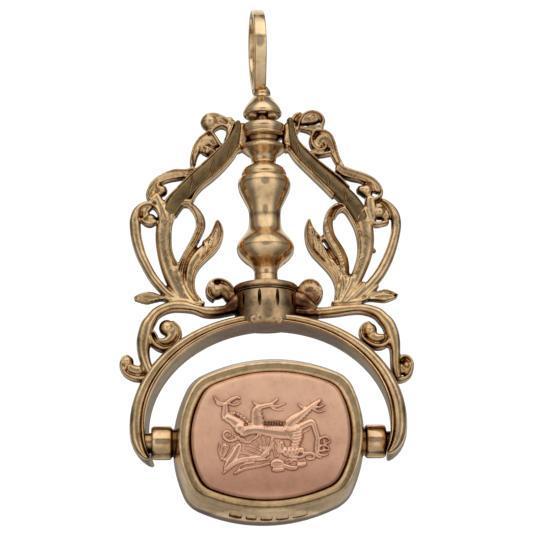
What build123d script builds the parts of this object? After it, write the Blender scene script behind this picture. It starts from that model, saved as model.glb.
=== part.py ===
from build123d import *
import math
import os

os.makedirs("parts", exist_ok=True)

# A swivel fob pendant: a bail, a turned post with two cast scroll castings on a bow,
# and a two-sided seal that spins between the bow's arms. Millimetres, +Z up, front towards -Y.
# The origin is the inside top of the bail, where a chain's ring carries it.

# Bail and its bell cap
bail_inner_height = 7.4
bail_inner_width = 6.2
bail_foot_width = 2.6
bail_strip = 0.8
bail_width = 1.2
bail_edge_round = 0.18
cap_height = 2.45
cap_radius = 1.9
cap_neck_radius = 0.9
cap_hollow = 0.25

# Swivel between bail and post
swivel_gap = 0.95
swivel_stem_radius = 0.6
swivel_head_radius = 1.1
swivel_head_thickness = 0.5
swivel_clearance = 0.06
collar_plate = 0.45

# Turned post and barrel
post_length = 17.05
collar_radius = 2.25
bulb_radius = 2.88
barrel_radius = 3.2
barrel_height = 3.95
barrel_rim_height = 0.72
barrel_rim_proud = 0.06
barrel_groove_count = 9
barrel_groove_width = 0.35
barrel_groove_length = 1.62
barrel_groove_depth = 0.3
barrel_groove_start = -6.0

# Bow
bow_inner_half_width = 11.95
bow_rise = 9.95
bow_wall_crown = 1.0
bow_wall_arm = 1.6
bow_depth = 5.2
bow_arm_radius = 12.2
bow_arm_drop = 3.1
bow_tip_radius = 0.42
bow_tip_slant = 60.0
bow_moulding = 0.6

# Scroll castings
stem_width = 1.0
plate_thickness = 1.3
ridge_thickness = 1.9
ridge_share = 0.5

# Pivot and pins
pivot_drop = 11.6
pin_radius = 1.0
pin_inset = 0.12
pin_press_clearance = 0.02
pin_running_clearance = 0.05
pin_end_clearance = 0.1
sleeve_radius = 1.65
sleeve_gap = 0.5
sleeve_bore_depth = 1.55
sleeve_round = 0.3

# Seal
seal_width = 18.7
seal_height = 16.3
seal_thickness = 7.8
rim_width = 17.7
rim_height = 14.5
seal_squareness = 2.75
rim_squareness = 3.1
plaque_width = 15.3
plaque_height = 12.4
plaque_thickness = 1.2
plaque_proud = 0.3
plaque_chamfer = 0.3
ledge_width = 1.0
seat_clearance = 0.02
relief_height = 0.3
cushion_points = 28

# Heights worked out from the sizes above
bail_foot_z = -(bail_inner_height + bail_strip)
cap_rim_z = bail_foot_z - cap_height
collar_top_z = cap_rim_z - swivel_gap
barrel_top_z = collar_top_z - post_length
barrel_foot_z = barrel_top_z - barrel_height
crown_z = barrel_foot_z - 0.1 * bow_wall_crown
pivot_z = crown_z - pivot_drop
bow_shoulder_z = crown_z - bow_rise
bow_outer_half_width = bow_inner_half_width + bow_wall_arm
crown_top_z = crown_z + bow_wall_crown
casting_foot_z = crown_top_z - 0.4 * bow_wall_crown
casting_height = collar_top_z - casting_foot_z
casting_half_width = bow_outer_half_width - 0.17 * bow_wall_arm
chamber_top_z = collar_top_z - collar_plate
head_top_z = chamber_top_z - swivel_clearance
head_foot_z = head_top_z - swivel_head_thickness
chamber_foot_z = head_foot_z - swivel_clearance


def arm_reach(radius_at_shoulder, z):
    """Distance from the centre plane to an arm's face at height z, below the bow's shoulder."""
    radius = bow_arm_radius + radius_at_shoulder - bow_inner_half_width
    return radius_at_shoulder - radius + math.sqrt(radius**2 - (z - bow_shoulder_z) ** 2)


arm_inner_x = arm_reach(bow_inner_half_width, pivot_z)
arm_outer_x = arm_reach(bow_outer_half_width, pivot_z)
sleeve_end_x = arm_inner_x - sleeve_gap
bore_foot_x = sleeve_end_x - sleeve_bore_depth
pin_inner_x = bore_foot_x + pin_end_clearance
pin_outer_x = arm_outer_x - pin_inset

# The bow's rounded outside, as three arches one over the other. Columns: wall, share of the
# bow's wall; setback from each side, share of bow_moulding; drop, share of bow_arm_drop.
BOW_LAYERS = [
    (0.55, 0.0, 0.86),
    (0.82, 0.3, 0.94),
    (1.0, 1.0, 1.0),
]

# Turned rings of the post. Columns: down, share of post_length; out, share of collar_radius.
RINGS = [
    (0.000, 0.90),
    (0.009, 1.00),
    (0.047, 1.00),
    (0.053, 0.94),
    (0.059, 0.98),
    (0.070, 0.95),
    (0.095, 0.72),
    (0.118, 0.72),
    (0.127, 0.84),
    (0.158, 1.02),
    (0.170, 1.01),
    (0.196, 0.66),
    (0.220, 0.55),
    (0.252, 0.55),
    (0.266, 0.82),
    (0.280, 0.94),
    (0.308, 1.01),
    (0.328, 1.04),
]

# Two bulbs with a waist between. Columns: down, share of post_length; out, share of bulb_radius.
BULBS = [
    (0.340, 0.90),
    (0.372, 0.925),
    (0.412, 0.89),
    (0.460, 0.76),
    (0.530, 0.575),
    (0.585, 0.545),
    (0.645, 0.60),
    (0.698, 0.775),
    (0.740, 0.955),
    (0.767, 1.00),
    (0.800, 0.94),
    (0.846, 0.69),
    (0.880, 0.48),
    (0.912, 0.40),
    (0.955, 0.405),
]

# Stems of one scroll casting. Columns: across, share of casting_half_width;
# up from the casting's foot, share of casting_height, or of bow_rise below it; width, share of stem_width.
STEMS = {
    "band": [
        (0.09, 0.975, 0.9),
        (0.215, 0.945, 1.0),
        (0.29, 0.852, 1.6),
        (0.468, 0.726, 1.9),
        (0.662, 0.597, 1.9),
        (0.755, 0.467, 1.8),
        (0.762, 0.338, 1.6),
        (0.70, 0.185, 1.5),
        (0.662, 0.072, 1.5),
    ],
    "inner": [
        (0.60, 0.615, 0.9),
        (0.491, 0.516, 0.95),
        (0.502, 0.417, 1.0),
        (0.595, 0.289, 1.1),
        (0.628, 0.185, 1.0),
        (0.640, 0.082, 0.9),
    ],
    "leaf": [
        (0.364, 0.500, 0.2),
        (0.357, 0.437, 1.1),
        (0.439, 0.346, 1.4),
        (0.543, 0.267, 1.1),
        (0.573, 0.170, 0.8),
        (0.543, 0.072, 0.7),
    ],
    "main": [
        (0.12, 0.040, 0.9),
        (0.335, 0.039, 0.9),
        (0.558, 0.059, 1.0),
        (0.736, 0.065, 0.95),
        (0.859, 0.017, 1.1),
        (0.903, -0.156, 1.4),
        (0.929, -0.337, 1.15),
        (0.900, -0.497, 1.1),
        (0.855, -0.608, 0.9),
    ],
    "lower_scroll": [
        (0.885, -0.146, 0.65),
        (0.848, -0.256, 0.65),
        (0.762, -0.307, 0.65),
        (0.677, -0.226, 0.65),
        (0.680, -0.090, 0.6),
        (0.743, -0.075, 0.9),
    ],
    "outer_curl": [
        (0.850, -0.592, 0.8),
        (0.944, -0.593, 0.7),
        (1.056, -0.528, 0.6),
        (1.071, -0.432, 0.6),
        (1.030, -0.422, 0.8),
    ],
    "side_leaf": [
        (0.993, 0.107, 0.3),
        (0.905, 0.108, 1.2),
        (0.788, 0.098, 0.8),
        (0.662, 0.082, 0.5),
    ],
    "outer": [
        (0.855, 0.585, 0.6),
        (0.937, 0.571, 0.8),
        (0.978, 0.486, 1.05),
        (0.955, 0.378, 1.05),
        (0.889, 0.274, 1.0),
        (0.803, 0.185, 0.9),
        (0.699, 0.101, 1.0),
    ],
    "middle_scroll": [
        (0.565, 0.713, 0.8),
        (0.610, 0.753, 0.8),
        (0.743, 0.738, 0.9),
        (0.844, 0.679, 1.0),
        (0.848, 0.615, 0.9),
        (0.795, 0.619, 0.8),
        (0.765, 0.665, 0.9),
    ],
    "second_scroll": [
        (0.543, 0.763, 0.7),
        (0.543, 0.812, 0.7),
        (0.513, 0.891, 0.9),
        (0.424, 0.938, 0.9),
        (0.357, 0.886, 0.9),
        (0.401, 0.854, 0.8),
        (0.446, 0.867, 0.8),
    ],
    "top_scroll": [
        (0.208, 0.995, 0.8),
        (0.275, 1.022, 0.8),
        (0.375, 1.042, 0.8),
        (0.428, 1.010, 1.0),
        (0.431, 0.946, 0.8),
    ],
    "barrel_scroll": [
        (0.170, 0.085, 1.2),
        (0.272, 0.118, 0.9),
        (0.298, 0.165, 0.8),
        (0.368, 0.185, 0.8),
        (0.412, 0.155, 0.8),
        (0.392, 0.122, 0.9),
    ],
}

# Cast balls. Columns: across and up as above; radius, share of stem_width.
BALLS = {
    "outer": (0.842, 0.507, 0.6),
    "lower_scroll": (0.755, -0.085, 0.5),
    "outer_curl": (1.024, -0.43, 0.45),
    "middle_scroll": (0.765, 0.667, 0.55),
    "barrel_scroll": (0.364, 0.145, 0.65),
    "top_scroll": (0.426, 1.000, 0.6),
}

# A heraldic beast passant, raised on the front plaque and upside down there, as a seal's
# picture is when it hangs. Columns: across, share of plaque_width; up, share of
# plaque_height, both from the plaque's middle; width, share of plaque_width.
RELIEF = {
    "body": [(-0.205, 0.025, 0.072), (-0.06, 0.02, 0.062), (0.05, 0.005, 0.082), (0.125, 0.0, 0.075)],
    "hind_thigh": [(-0.205, 0.035, 0.08), (-0.25, 0.10, 0.055), (-0.287, 0.125, 0.04)],
    "hind_shank": [(-0.287, 0.125, 0.035), (-0.28, 0.18, 0.033), (-0.275, 0.235, 0.03)],
    "hind_foot": [(-0.355, 0.29, 0.012), (-0.325, 0.25, 0.028), (-0.275, 0.232, 0.036), (-0.19, 0.265, 0.02)],
    "far_leg": [(-0.085, 0.03, 0.06), (-0.095, 0.14, 0.07), (-0.065, 0.205, 0.05)],
    "far_foot": [(-0.12, 0.26, 0.014), (-0.065, 0.225, 0.034), (0.01, 0.235, 0.034), (0.095, 0.225, 0.014)],
    "fore_leg": [(0.10, 0.07, 0.06), (0.17, 0.14, 0.05), (0.235, 0.20, 0.038), (0.315, 0.265, 0.02)],
    "fore_toe": [(0.17, 0.245, 0.014), (0.21, 0.215, 0.028), (0.28, 0.205, 0.03), (0.335, 0.20, 0.014)],
    "raised_arm": [(0.16, 0.03, 0.045), (0.23, 0.075, 0.04), (0.275, 0.035, 0.034), (0.287, -0.06, 0.036)],
    "paw_upper": [(0.287, -0.05, 0.036), (0.33, -0.035, 0.034), (0.36, -0.055, 0.02)],
    "paw_lower": [(0.287, -0.06, 0.036), (0.295, -0.13, 0.034), (0.35, -0.155, 0.02)],
    "neck": [(0.14, 0.0, 0.07), (0.165, -0.08, 0.055), (0.12, -0.11, 0.055)],
    "head": [(0.085, -0.09, 0.05), (0.095, -0.15, 0.055), (0.19, -0.145, 0.045), (0.27, -0.15, 0.035)],
    "crest": [(0.01, -0.21, 0.04), (0.075, -0.235, 0.045), (0.15, -0.23, 0.045), (0.21, -0.215, 0.035)],
    "wing_arm": [(0.09, -0.045, 0.03), (0.02, -0.05, 0.035), (0.0, -0.14, 0.035), (-0.06, -0.165, 0.03)],
    "wing_rib_one": [(-0.02, -0.15, 0.018), (-0.05, -0.06, 0.016), (-0.06, -0.01, 0.02)],
    "wing_rib_two": [(-0.03, -0.15, 0.016), (-0.10, -0.085, 0.014), (-0.13, -0.065, 0.02)],
    "wing_rib_three": [(-0.04, -0.155, 0.016), (-0.12, -0.13, 0.014), (-0.17, -0.115, 0.02)],
    "wing_sheet": [(-0.20, -0.045, 0.05), (-0.24, -0.14, 0.05), (-0.295, -0.25, 0.02)],
    "wing_edge": [(-0.04, -0.165, 0.026), (-0.16, -0.18, 0.026), (-0.25, -0.225, 0.024), (-0.305, -0.285, 0.018)],
    "far_wing": [(-0.02, -0.205, 0.02), (-0.13, -0.235, 0.024), (-0.23, -0.285, 0.018)],
    "tail": [(-0.19, -0.015, 0.022), (-0.25, -0.04, 0.02), (-0.30, 0.0, 0.02), (-0.26, 0.02, 0.018)],
    "tail_barb": [(-0.32, -0.05, 0.018), (-0.31, -0.12, 0.042), (-0.30, -0.18, 0.014)],
}


def place_on_casting(across, up):
    """A point of the casting in its own plane, x and z, from its two shares."""
    rise = casting_height if up >= 0 else bow_rise
    return (across * casting_half_width, casting_foot_z + up * rise)


def place_on_plaque(across, up):
    """A point of the plaque's face in its own plane, x and z, from its two shares."""
    return (across * plaque_width, pivot_z + up * plaque_height)


def stem_outline(rows, place, unit, share=1.0):
    """Both edges of a stem, half its width either side of a smooth centre line, and its round ends."""
    points = [place(across, up) for across, up, width in rows]
    widths = [width * unit * share for across, up, width in rows]
    runs = [math.dist(a, b) for a, b in zip(points, points[1:])]
    marks = [sum(runs[:index]) / sum(runs) for index in range(len(points))]
    centre = Spline(*points, mode=Mode.PRIVATE)
    steps = 2 * (len(rows) - 1)
    left, right = [], []
    for step in range(steps + 1):
        along = step / steps
        index = max(i for i, mark in enumerate(marks[:-1]) if mark <= along + 1e-9)
        part = (along - marks[index]) / (marks[index + 1] - marks[index])
        half = 0.5 * (widths[index] + part * (widths[index + 1] - widths[index]))
        spot = centre @ along
        heading = centre % along
        left.append((spot.X - heading.Y * half, spot.Y + heading.X * half))
        right.append((spot.X + heading.Y * half, spot.Y - heading.X * half))
    ends = [(points[0], widths[0] / 2), (points[-1], widths[-1] / 2)]
    return left, right, ends


def draw_stems(outlines):
    """Adds each stem's outline to the sketch that is open."""
    for left, right, ends in outlines:
        with BuildLine() as edges:
            Spline(*left)
            Spline(*right)
            Line(left[0], right[0])
            Line(left[-1], right[-1])
        make_face(edges.edges())
        for point, radius in ends:
            with Locations(point):
                Circle(radius)


def draw_arch(wall_share, drop_share):
    """Adds the bow's outline to the open sketch, with the given shares of its wall and its drop."""
    shoulder = (0, bow_shoulder_z)
    outer_half_width = bow_inner_half_width + wall_share * bow_wall_arm
    arm_turn = math.degrees(math.asin(drop_share * bow_arm_drop / bow_arm_radius))
    tip_radius = wall_share * bow_tip_radius
    slant = math.radians(bow_tip_slant)
    tip_middles = []
    with BuildLine() as outline:
        EllipticalCenterArc(shoulder, outer_half_width, bow_rise + wall_share * bow_wall_crown, arc_size=180)
        EllipticalCenterArc(shoulder, bow_inner_half_width, bow_rise, arc_size=180)
        for side in (-1, 1):
            inner_start = (side * bow_inner_half_width, bow_shoulder_z)
            inner = JernArc(inner_start, (0, -1), bow_arm_radius, -side * arm_turn)
            heading = inner % 1
            tip_x = (inner @ 1).X - side * tip_radius * heading.Y
            tip_z = (inner @ 1).Y + side * tip_radius * heading.X
            outer_start = (side * outer_half_width, bow_shoulder_z)
            outer_end = (tip_x + side * tip_radius * math.cos(slant), tip_z - tip_radius * math.sin(slant))
            outer_heading = (-side * math.sin(slant), -math.cos(slant))
            Spline(outer_start, outer_end, tangents=((0, -1), outer_heading))
            Polyline(outer_end, (tip_x, tip_z), inner @ 1)
            tip_middles.append((tip_x, tip_z))
    make_face(outline.edges())
    with Locations(*tip_middles):
        Circle(tip_radius)


def draw_cushion(width, height, squareness):
    """Adds a round-cornered outline with bowed sides, an oval that squareness draws out to a box."""
    corners = []
    for step in range(cushion_points):
        turn = 2 * math.pi * step / cushion_points
        across = math.copysign(abs(math.cos(turn)) ** (2 / squareness), math.cos(turn))
        up = math.copysign(abs(math.sin(turn)) ** (2 / squareness), math.sin(turn))
        corners.append((across * width / 2, up * height / 2))
    with BuildLine() as outline:
        Spline(*corners, periodic=True)
    make_face(outline.edges())


seal_plane = Plane(origin=(0, 0, pivot_z), x_dir=(1, 0, 0), z_dir=(0, -1, 0))

# Bail: a flat strip bent to a pear-shaped loop, seen edge-on from the front, on a bell cap
# whose stem goes down into the post and ends in a riveted head.
bail_top_radius = bail_inner_width / 2
bail_foot_radius = bail_foot_width / 2
with BuildPart() as bail:
    with BuildSketch(Plane.YZ):
        with Locations((0, -bail_top_radius)):
            Circle(bail_top_radius + bail_strip)
        with Locations((0, bail_foot_radius - bail_inner_height)):
            Circle(bail_foot_radius + bail_strip)
        make_hull()
    extrude(amount=bail_width / 2, both=True)
    with BuildSketch(Plane.YZ):
        with Locations((0, -bail_top_radius)):
            Circle(bail_top_radius)
        with Locations((0, bail_foot_radius - bail_inner_height)):
            Circle(bail_foot_radius)
        make_hull()
    extrude(amount=bail_width, both=True, mode=Mode.SUBTRACT)
    fillet(bail.edges().filter_by(Plane.YZ), bail_edge_round)
    with BuildSketch(Plane.XZ):
        with BuildLine():
            Line((0, bail_foot_z + 0.4 * bail_strip), (cap_neck_radius, bail_foot_z + 0.4 * bail_strip))
            Spline(
                (cap_neck_radius, bail_foot_z + 0.4 * bail_strip),
                (1.15 * cap_neck_radius, bail_foot_z - 0.2 * cap_height),
                (0.86 * cap_radius, bail_foot_z - 0.52 * cap_height),
                (cap_radius, bail_foot_z - 0.82 * cap_height),
                (0.93 * cap_radius, cap_rim_z),
            )
            Line((0.93 * cap_radius, cap_rim_z), (0.8 * cap_radius, cap_rim_z))
            Line((0.8 * cap_radius, cap_rim_z), (0.7 * cap_radius, cap_rim_z + cap_hollow))
            Line((0.7 * cap_radius, cap_rim_z + cap_hollow), (swivel_stem_radius, cap_rim_z + cap_hollow))
            Line((swivel_stem_radius, cap_rim_z + cap_hollow), (swivel_stem_radius, head_top_z))
            Line((swivel_stem_radius, head_top_z), (swivel_head_radius, head_top_z))
            Line((swivel_head_radius, head_top_z), (swivel_head_radius, head_foot_z))
            Line((swivel_head_radius, head_foot_z), (0, head_foot_z))
            Line((0, head_foot_z), (0, bail_foot_z + 0.4 * bail_strip))
        make_face()
    revolve(axis=Axis.Z)
bail.part.label = "bail"
export_step(bail.part, "parts/bail.step")

# Frame: the post, barrel, bow and both castings are soldered together into one solid.
stem_outlines = [stem_outline(rows, place_on_casting, stem_width) for rows in STEMS.values()]
ridge_outlines = [stem_outline(rows, place_on_casting, stem_width, ridge_share) for rows in STEMS.values()]
with BuildPart() as frame:
    # Bow: an elliptical arch whose arms turn in below the pivot and end in rounded tips
    for wall_share, setback, drop_share in BOW_LAYERS:
        with BuildSketch(Plane.XZ):
            draw_arch(wall_share, drop_share)
        extrude(amount=bow_depth / 2 - setback * bow_moulding, both=True)

    # Post and barrel: turned rings, two bulbs and a drum, one profile spun round the axis
    with BuildSketch(Plane.XZ):
        with BuildLine():
            rings = [(out * collar_radius, collar_top_z - down * post_length) for down, out in RINGS]
            bulbs = [(out * bulb_radius, collar_top_z - down * post_length) for down, out in BULBS]
            rim_radius = barrel_radius + barrel_rim_proud
            rim_foot_z = barrel_top_z - barrel_rim_height
            Polyline((0, collar_top_z), *rings, bulbs[0])
            Spline(*bulbs)
            Polyline(
                bulbs[-1],
                (bulbs[-1][0], barrel_top_z),
                (0.93 * barrel_radius, barrel_top_z),
                (rim_radius, barrel_top_z - 0.3 * barrel_rim_height),
                (rim_radius, rim_foot_z),
                (barrel_radius, rim_foot_z - barrel_rim_proud),
                (barrel_radius, barrel_foot_z),
                (0, barrel_foot_z),
                (0, collar_top_z),
            )
        make_face()
    revolve(axis=Axis.Z)

    # Upright gouged grooves round the barrel
    groove_middle_z = barrel_top_z - barrel_rim_height - 0.18 * barrel_height - barrel_groove_length / 2
    with Locations((0, 0, groove_middle_z)):
        with PolarLocations(barrel_radius, barrel_groove_count, start_angle=barrel_groove_start - 90):
            Box(2 * barrel_groove_depth, barrel_groove_width, barrel_groove_length, mode=Mode.SUBTRACT)

    # Scroll castings: flat stems with a narrower ridge along each, and cast balls
    with BuildSketch(Plane.XZ):
        draw_stems(stem_outlines)
        mirror(about=Plane.YZ)
    extrude(amount=plate_thickness / 2, both=True)
    with BuildSketch(Plane.XZ):
        draw_stems(ridge_outlines)
        mirror(about=Plane.YZ)
    extrude(amount=ridge_thickness / 2, both=True)
    for across, up, radius in BALLS.values():
        ball_x, ball_z = place_on_casting(across, up)
        with Locations((ball_x, 0, ball_z), (-ball_x, 0, ball_z)):
            Sphere(radius * stem_width)

    # Chamber for the swivel's riveted head, and bores for the pins
    with Locations((0, 0, (chamber_top_z + chamber_foot_z) / 2)):
        Cylinder(swivel_head_radius + swivel_clearance, chamber_top_z - chamber_foot_z, mode=Mode.SUBTRACT)
    with Locations((0, 0, collar_top_z - collar_plate / 2)):
        Cylinder(swivel_stem_radius + swivel_clearance, 2 * collar_plate, mode=Mode.SUBTRACT)
    with BuildSketch(Plane.YZ.offset(-bow_outer_half_width - bow_wall_arm)):
        with Locations((0, pivot_z)):
            Circle(pin_radius + pin_press_clearance)
    extrude(amount=2 * (bow_outer_half_width + bow_wall_arm), mode=Mode.SUBTRACT)
frame.part.label = "frame"
export_step(frame.part, "parts/frame.step")

# Pins: one pressed into each arm, running in the seal's sleeve
for side, name in ((-1, "pivot_pin_left"), (1, "pivot_pin_right")):
    with BuildPart() as pin:
        with BuildSketch(Plane.YZ.offset(side * pin_inner_x)):
            with Locations((0, pivot_z)):
                Circle(pin_radius)
        extrude(amount=side * (pin_outer_x - pin_inner_x))
        chamfer(pin.faces().sort_by(Axis.X)[0 if side > 0 else -1].edges(), 0.2 * pin_radius)
    pin.part.label = name
    export_step(pin.part, f"parts/{name}.step")

# Seal case: a cushion-shaped band with a rim on each side, a plaque's seat in each rim,
# and a sleeve on each end for the pins
seat_depth = plaque_thickness - plaque_proud + seat_clearance
with BuildPart() as seal_case:
    for forward, width, height, squareness in (
        (seal_thickness / 2, rim_width, rim_height, rim_squareness),
        (0, seal_width, seal_height, seal_squareness),
        (-seal_thickness / 2, rim_width, rim_height, rim_squareness),
    ):
        with BuildSketch(seal_plane.offset(forward)):
            draw_cushion(width, height, squareness)
    loft()
    with BuildSketch(seal_plane.offset(-seal_thickness)):
        draw_cushion(plaque_width - 2 * ledge_width, plaque_height - 2 * ledge_width, rim_squareness)
    extrude(amount=2 * seal_thickness, mode=Mode.SUBTRACT)
    for seat_foot, forward in (
        (seal_thickness / 2 - seat_depth, 2 * seat_depth),
        (seat_depth - seal_thickness / 2, -2 * seat_depth),
    ):
        with BuildSketch(seal_plane.offset(seat_foot)):
            draw_cushion(plaque_width + 2 * seat_clearance, plaque_height + 2 * seat_clearance, rim_squareness)
        extrude(amount=forward, mode=Mode.SUBTRACT)
    for side in (-1, 1):
        sleeve_root_x = rim_width / 2
        with BuildSketch(Plane.YZ.offset(side * sleeve_root_x)):
            with Locations((0, pivot_z)):
                Circle(sleeve_radius)
        extrude(amount=side * (sleeve_end_x - sleeve_root_x))
        end_face = seal_case.faces().sort_by(Axis.X)[-1 if side > 0 else 0]
        fillet(end_face.edges(), sleeve_round)
        with BuildSketch(Plane.YZ.offset(side * bore_foot_x)):
            with Locations((0, pivot_z)):
                Circle(pin_radius + pin_running_clearance)
        extrude(amount=side * 2 * sleeve_bore_depth, mode=Mode.SUBTRACT)
seal_case.part.label = "seal_case"
export_step(seal_case.part, "parts/seal_case.step")

# Plaques: one in each side of the case; the front one carries the raised beast
relief_outlines = [stem_outline(rows, place_on_plaque, plaque_width) for rows in RELIEF.values()]
plaque_face = seal_thickness / 2 + plaque_proud
with BuildPart() as plaque_front:
    with BuildSketch(seal_plane.offset(plaque_face - plaque_thickness)):
        draw_cushion(plaque_width, plaque_height, rim_squareness)
    extrude(amount=plaque_thickness)
    chamfer(plaque_front.faces().sort_by(Axis.Y)[0].edges(), plaque_chamfer)
    with BuildSketch(Plane.XZ.offset(plaque_face - plaque_chamfer)):
        draw_stems(relief_outlines)
    extrude(amount=plaque_chamfer + relief_height)
plaque_front.part.label = "plaque_front"
export_step(plaque_front.part, "parts/plaque_front.step")

with BuildPart() as plaque_back:
    with BuildSketch(seal_plane.offset(plaque_thickness - plaque_face)):
        draw_cushion(plaque_width, plaque_height, rim_squareness)
    extrude(amount=-plaque_thickness)
    chamfer(plaque_back.faces().sort_by(Axis.Y)[-1].edges(), plaque_chamfer)
plaque_back.part.label = "plaque_back"
export_step(plaque_back.part, "parts/plaque_back.step")
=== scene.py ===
import math

import bpy
from mathutils import Matrix, Vector


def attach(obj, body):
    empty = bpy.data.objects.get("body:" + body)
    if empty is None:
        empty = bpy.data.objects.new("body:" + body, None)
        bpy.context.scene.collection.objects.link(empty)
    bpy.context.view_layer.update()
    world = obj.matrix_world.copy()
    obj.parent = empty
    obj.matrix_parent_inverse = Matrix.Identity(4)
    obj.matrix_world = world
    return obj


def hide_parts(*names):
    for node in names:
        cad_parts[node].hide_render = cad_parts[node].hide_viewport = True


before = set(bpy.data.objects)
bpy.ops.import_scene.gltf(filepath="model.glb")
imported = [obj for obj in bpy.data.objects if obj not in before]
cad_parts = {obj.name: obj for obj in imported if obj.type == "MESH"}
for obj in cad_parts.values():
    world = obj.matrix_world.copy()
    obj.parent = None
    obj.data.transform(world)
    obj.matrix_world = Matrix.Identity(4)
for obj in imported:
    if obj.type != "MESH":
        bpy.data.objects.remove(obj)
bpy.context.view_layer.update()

MM = 0.001

# Sizes of the pendant, in millimetres
bail_inner_height = 7.4
bail_inner_width = 6.2
bail_foot_width = 2.6
bail_strip = 0.8
bail_width = 1.2
bail_foot_z = -8.2
cap_height = 2.45
cap_radius = 1.97
collar_top_z = -11.6
post_length = 17.05
post_offset = 0.05
bulb_radius = 2.88
barrel_radius = 3.2
barrel_height = 3.95
barrel_top_z = collar_top_z - post_length
crown_z = -32.7
bow_rise = 9.95
bow_wall_crown = 1.0
bow_wall_arm = 1.6
bow_inner_half_width = 11.95
bow_arm_radius = 12.2
bow_arm_drop = 3.15
bow_half_depth = 2.6
casting_foot_z = -32.1
casting_height = 20.5
casting_half_width = 13.28
pivot_z = -44.3
sleeve_radius = 1.65
rim_half_width = 8.85
rim_half_height = 7.25
rim_corner_radius = 2.7
plaque_half_width = 7.65
plaque_half_height = 6.2
plaque_face_y = -4.2

# Where the photographer stood: a little to the left and below, looking up at the pendant. Angles in
# degrees, distances in mm, the focal length and the picture in pixels.
view_azimuth = -3.6
view_elevation = 15.4
view_roll = 1.13
view_distance = 200.0
view_focal = 2000.0
picture_size = 533.0
sensor = 36.0
target = (0.12, 0.0, -26.5)
nearest_seen = 10.0
furthest_seen = 10000.0


def clear_selection():
    """Leaves edit mode and deselects everything."""
    if bpy.context.object and bpy.context.object.mode != "OBJECT":
        bpy.ops.object.mode_set(mode="OBJECT")
    bpy.ops.object.select_all(action="DESELECT")


def view_axes():
    """The camera's right, up and forward directions."""
    azimuth, elevation, roll = (math.radians(angle) for angle in (view_azimuth, view_elevation, view_roll))
    right = Vector((math.cos(azimuth), math.sin(azimuth), 0))
    forward = Vector((
        -math.sin(azimuth) * math.cos(elevation),
        math.cos(azimuth) * math.cos(elevation),
        math.sin(elevation),
    ))
    up = right.cross(forward)
    turned_right = right * math.cos(roll) - up * math.sin(roll)
    turned_up = right * math.sin(roll) + up * math.cos(roll)
    return turned_right, turned_up, forward


def place_camera():
    """Sets the camera where the photograph was taken from."""
    right, up, forward = view_axes()
    eye = (Vector(target) - forward * view_distance) * MM
    clear_selection()
    bpy.ops.object.camera_add(location=eye)
    camera = bpy.context.object
    camera.name = "camera"
    camera.rotation_euler = Matrix((right, up, -forward)).transposed().to_euler()
    camera.data.sensor_width = sensor
    camera.data.lens = view_focal * sensor / picture_size
    camera.data.clip_start = nearest_seen * MM
    camera.data.clip_end = furthest_seen * MM
    bpy.context.scene.camera = camera


# Shaping, as by hand: a primitive, then extrusions and turns in edit mode. All of it is in millimetres
# until settle() brings a finished piece to metres.

def pick(piece):
    """Selects one piece alone."""
    clear_selection()
    bpy.context.view_layer.objects.active = piece
    piece.select_set(True)


def edit_all(piece):
    """Opens a piece for editing with all of it selected."""
    pick(piece)
    bpy.ops.object.mode_set(mode="EDIT")
    bpy.ops.mesh.select_all(action="SELECT")


def leave_edit():
    """Goes back to object mode."""
    bpy.ops.object.mode_set(mode="OBJECT")


def start_face(name, outline):
    """A filled circle whose corners are moved to an outline, as the first face of a new piece."""
    clear_selection()
    bpy.ops.mesh.primitive_circle_add(vertices=len(outline), radius=1, fill_type="NGON")
    piece = bpy.context.object
    piece.name = name
    for vertex, (across, through) in zip(piece.data.vertices, outline):
        vertex.co = (across, through, 0)
    edit_all(piece)
    return piece


def pull(step):
    """Extrudes the selected face by a step."""
    bpy.ops.mesh.extrude_region_move(TRANSFORM_OT_translate={"value": step})


def turn(angle, centre, axis="Y"):
    """Turns what is selected about a point. Turned without a window, the sign is the other way round."""
    bpy.ops.transform.rotate(value=-angle, orient_axis=axis, center_override=centre)


def stretch(shares, centre):
    """Resizes what is selected about a point."""
    bpy.ops.transform.resize(value=shares, center_override=centre)


def shift(piece, step):
    """Moves a whole piece within its own mesh."""
    edit_all(piece)
    bpy.ops.transform.translate(value=step)
    leave_edit()


def grow(name, outline, stations):
    """Extrudes an outline along stations in the front plane: place x and z, width, thickness."""
    piece = start_face(name, outline)
    headings = []
    for index in range(len(stations)):
        before = stations[max(index - 1, 0)]
        after = stations[min(index + 1, len(stations) - 1)]
        headings.append(math.atan2(after[0] - before[0], after[1] - before[1]))
    x, z, width, thickness = stations[0]
    place = Vector((x, 0, z))
    stretch((width / 2, thickness / 2, 1), (0, 0, 0))
    turn(headings[0], (0, 0, 0))
    bpy.ops.transform.translate(value=place)
    for index in range(1, len(stations)):
        x, z, new_width, new_thickness = stations[index]
        new_place = Vector((x, 0, z))
        pull(new_place - place)
        turn(-headings[index - 1], new_place)
        stretch((new_width / width, new_thickness / thickness, 1), new_place)
        turn(headings[index], new_place)
        place, width, thickness = new_place, new_width, new_thickness
    leave_edit()
    return piece


def turned(name, rows, sides):
    """Turns a solid about the upright axis. Rows: radius and height, from the bottom up."""
    radius, height = rows[0]
    ring = [(-math.sin(2 * math.pi * i / sides), math.cos(2 * math.pi * i / sides)) for i in range(sides)]
    piece = start_face(name, ring)
    stretch((radius, radius, 1), (0, 0, 0))
    bpy.ops.transform.translate(value=(0, 0, height))
    for new_radius, new_height in rows[1:]:
        pull((0, 0, new_height - height))
        stretch((new_radius / radius, new_radius / radius, 1), (0, 0, new_height))
        radius, height = new_radius, new_height
    leave_edit()
    return piece


def profile(shares, radius, top_z, height):
    """Rows for turned(), bottom up. Shares: out, of the radius, and down from the top, of the height."""
    return [(out * radius, top_z - down * height) for out, down in reversed(shares)]


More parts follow.
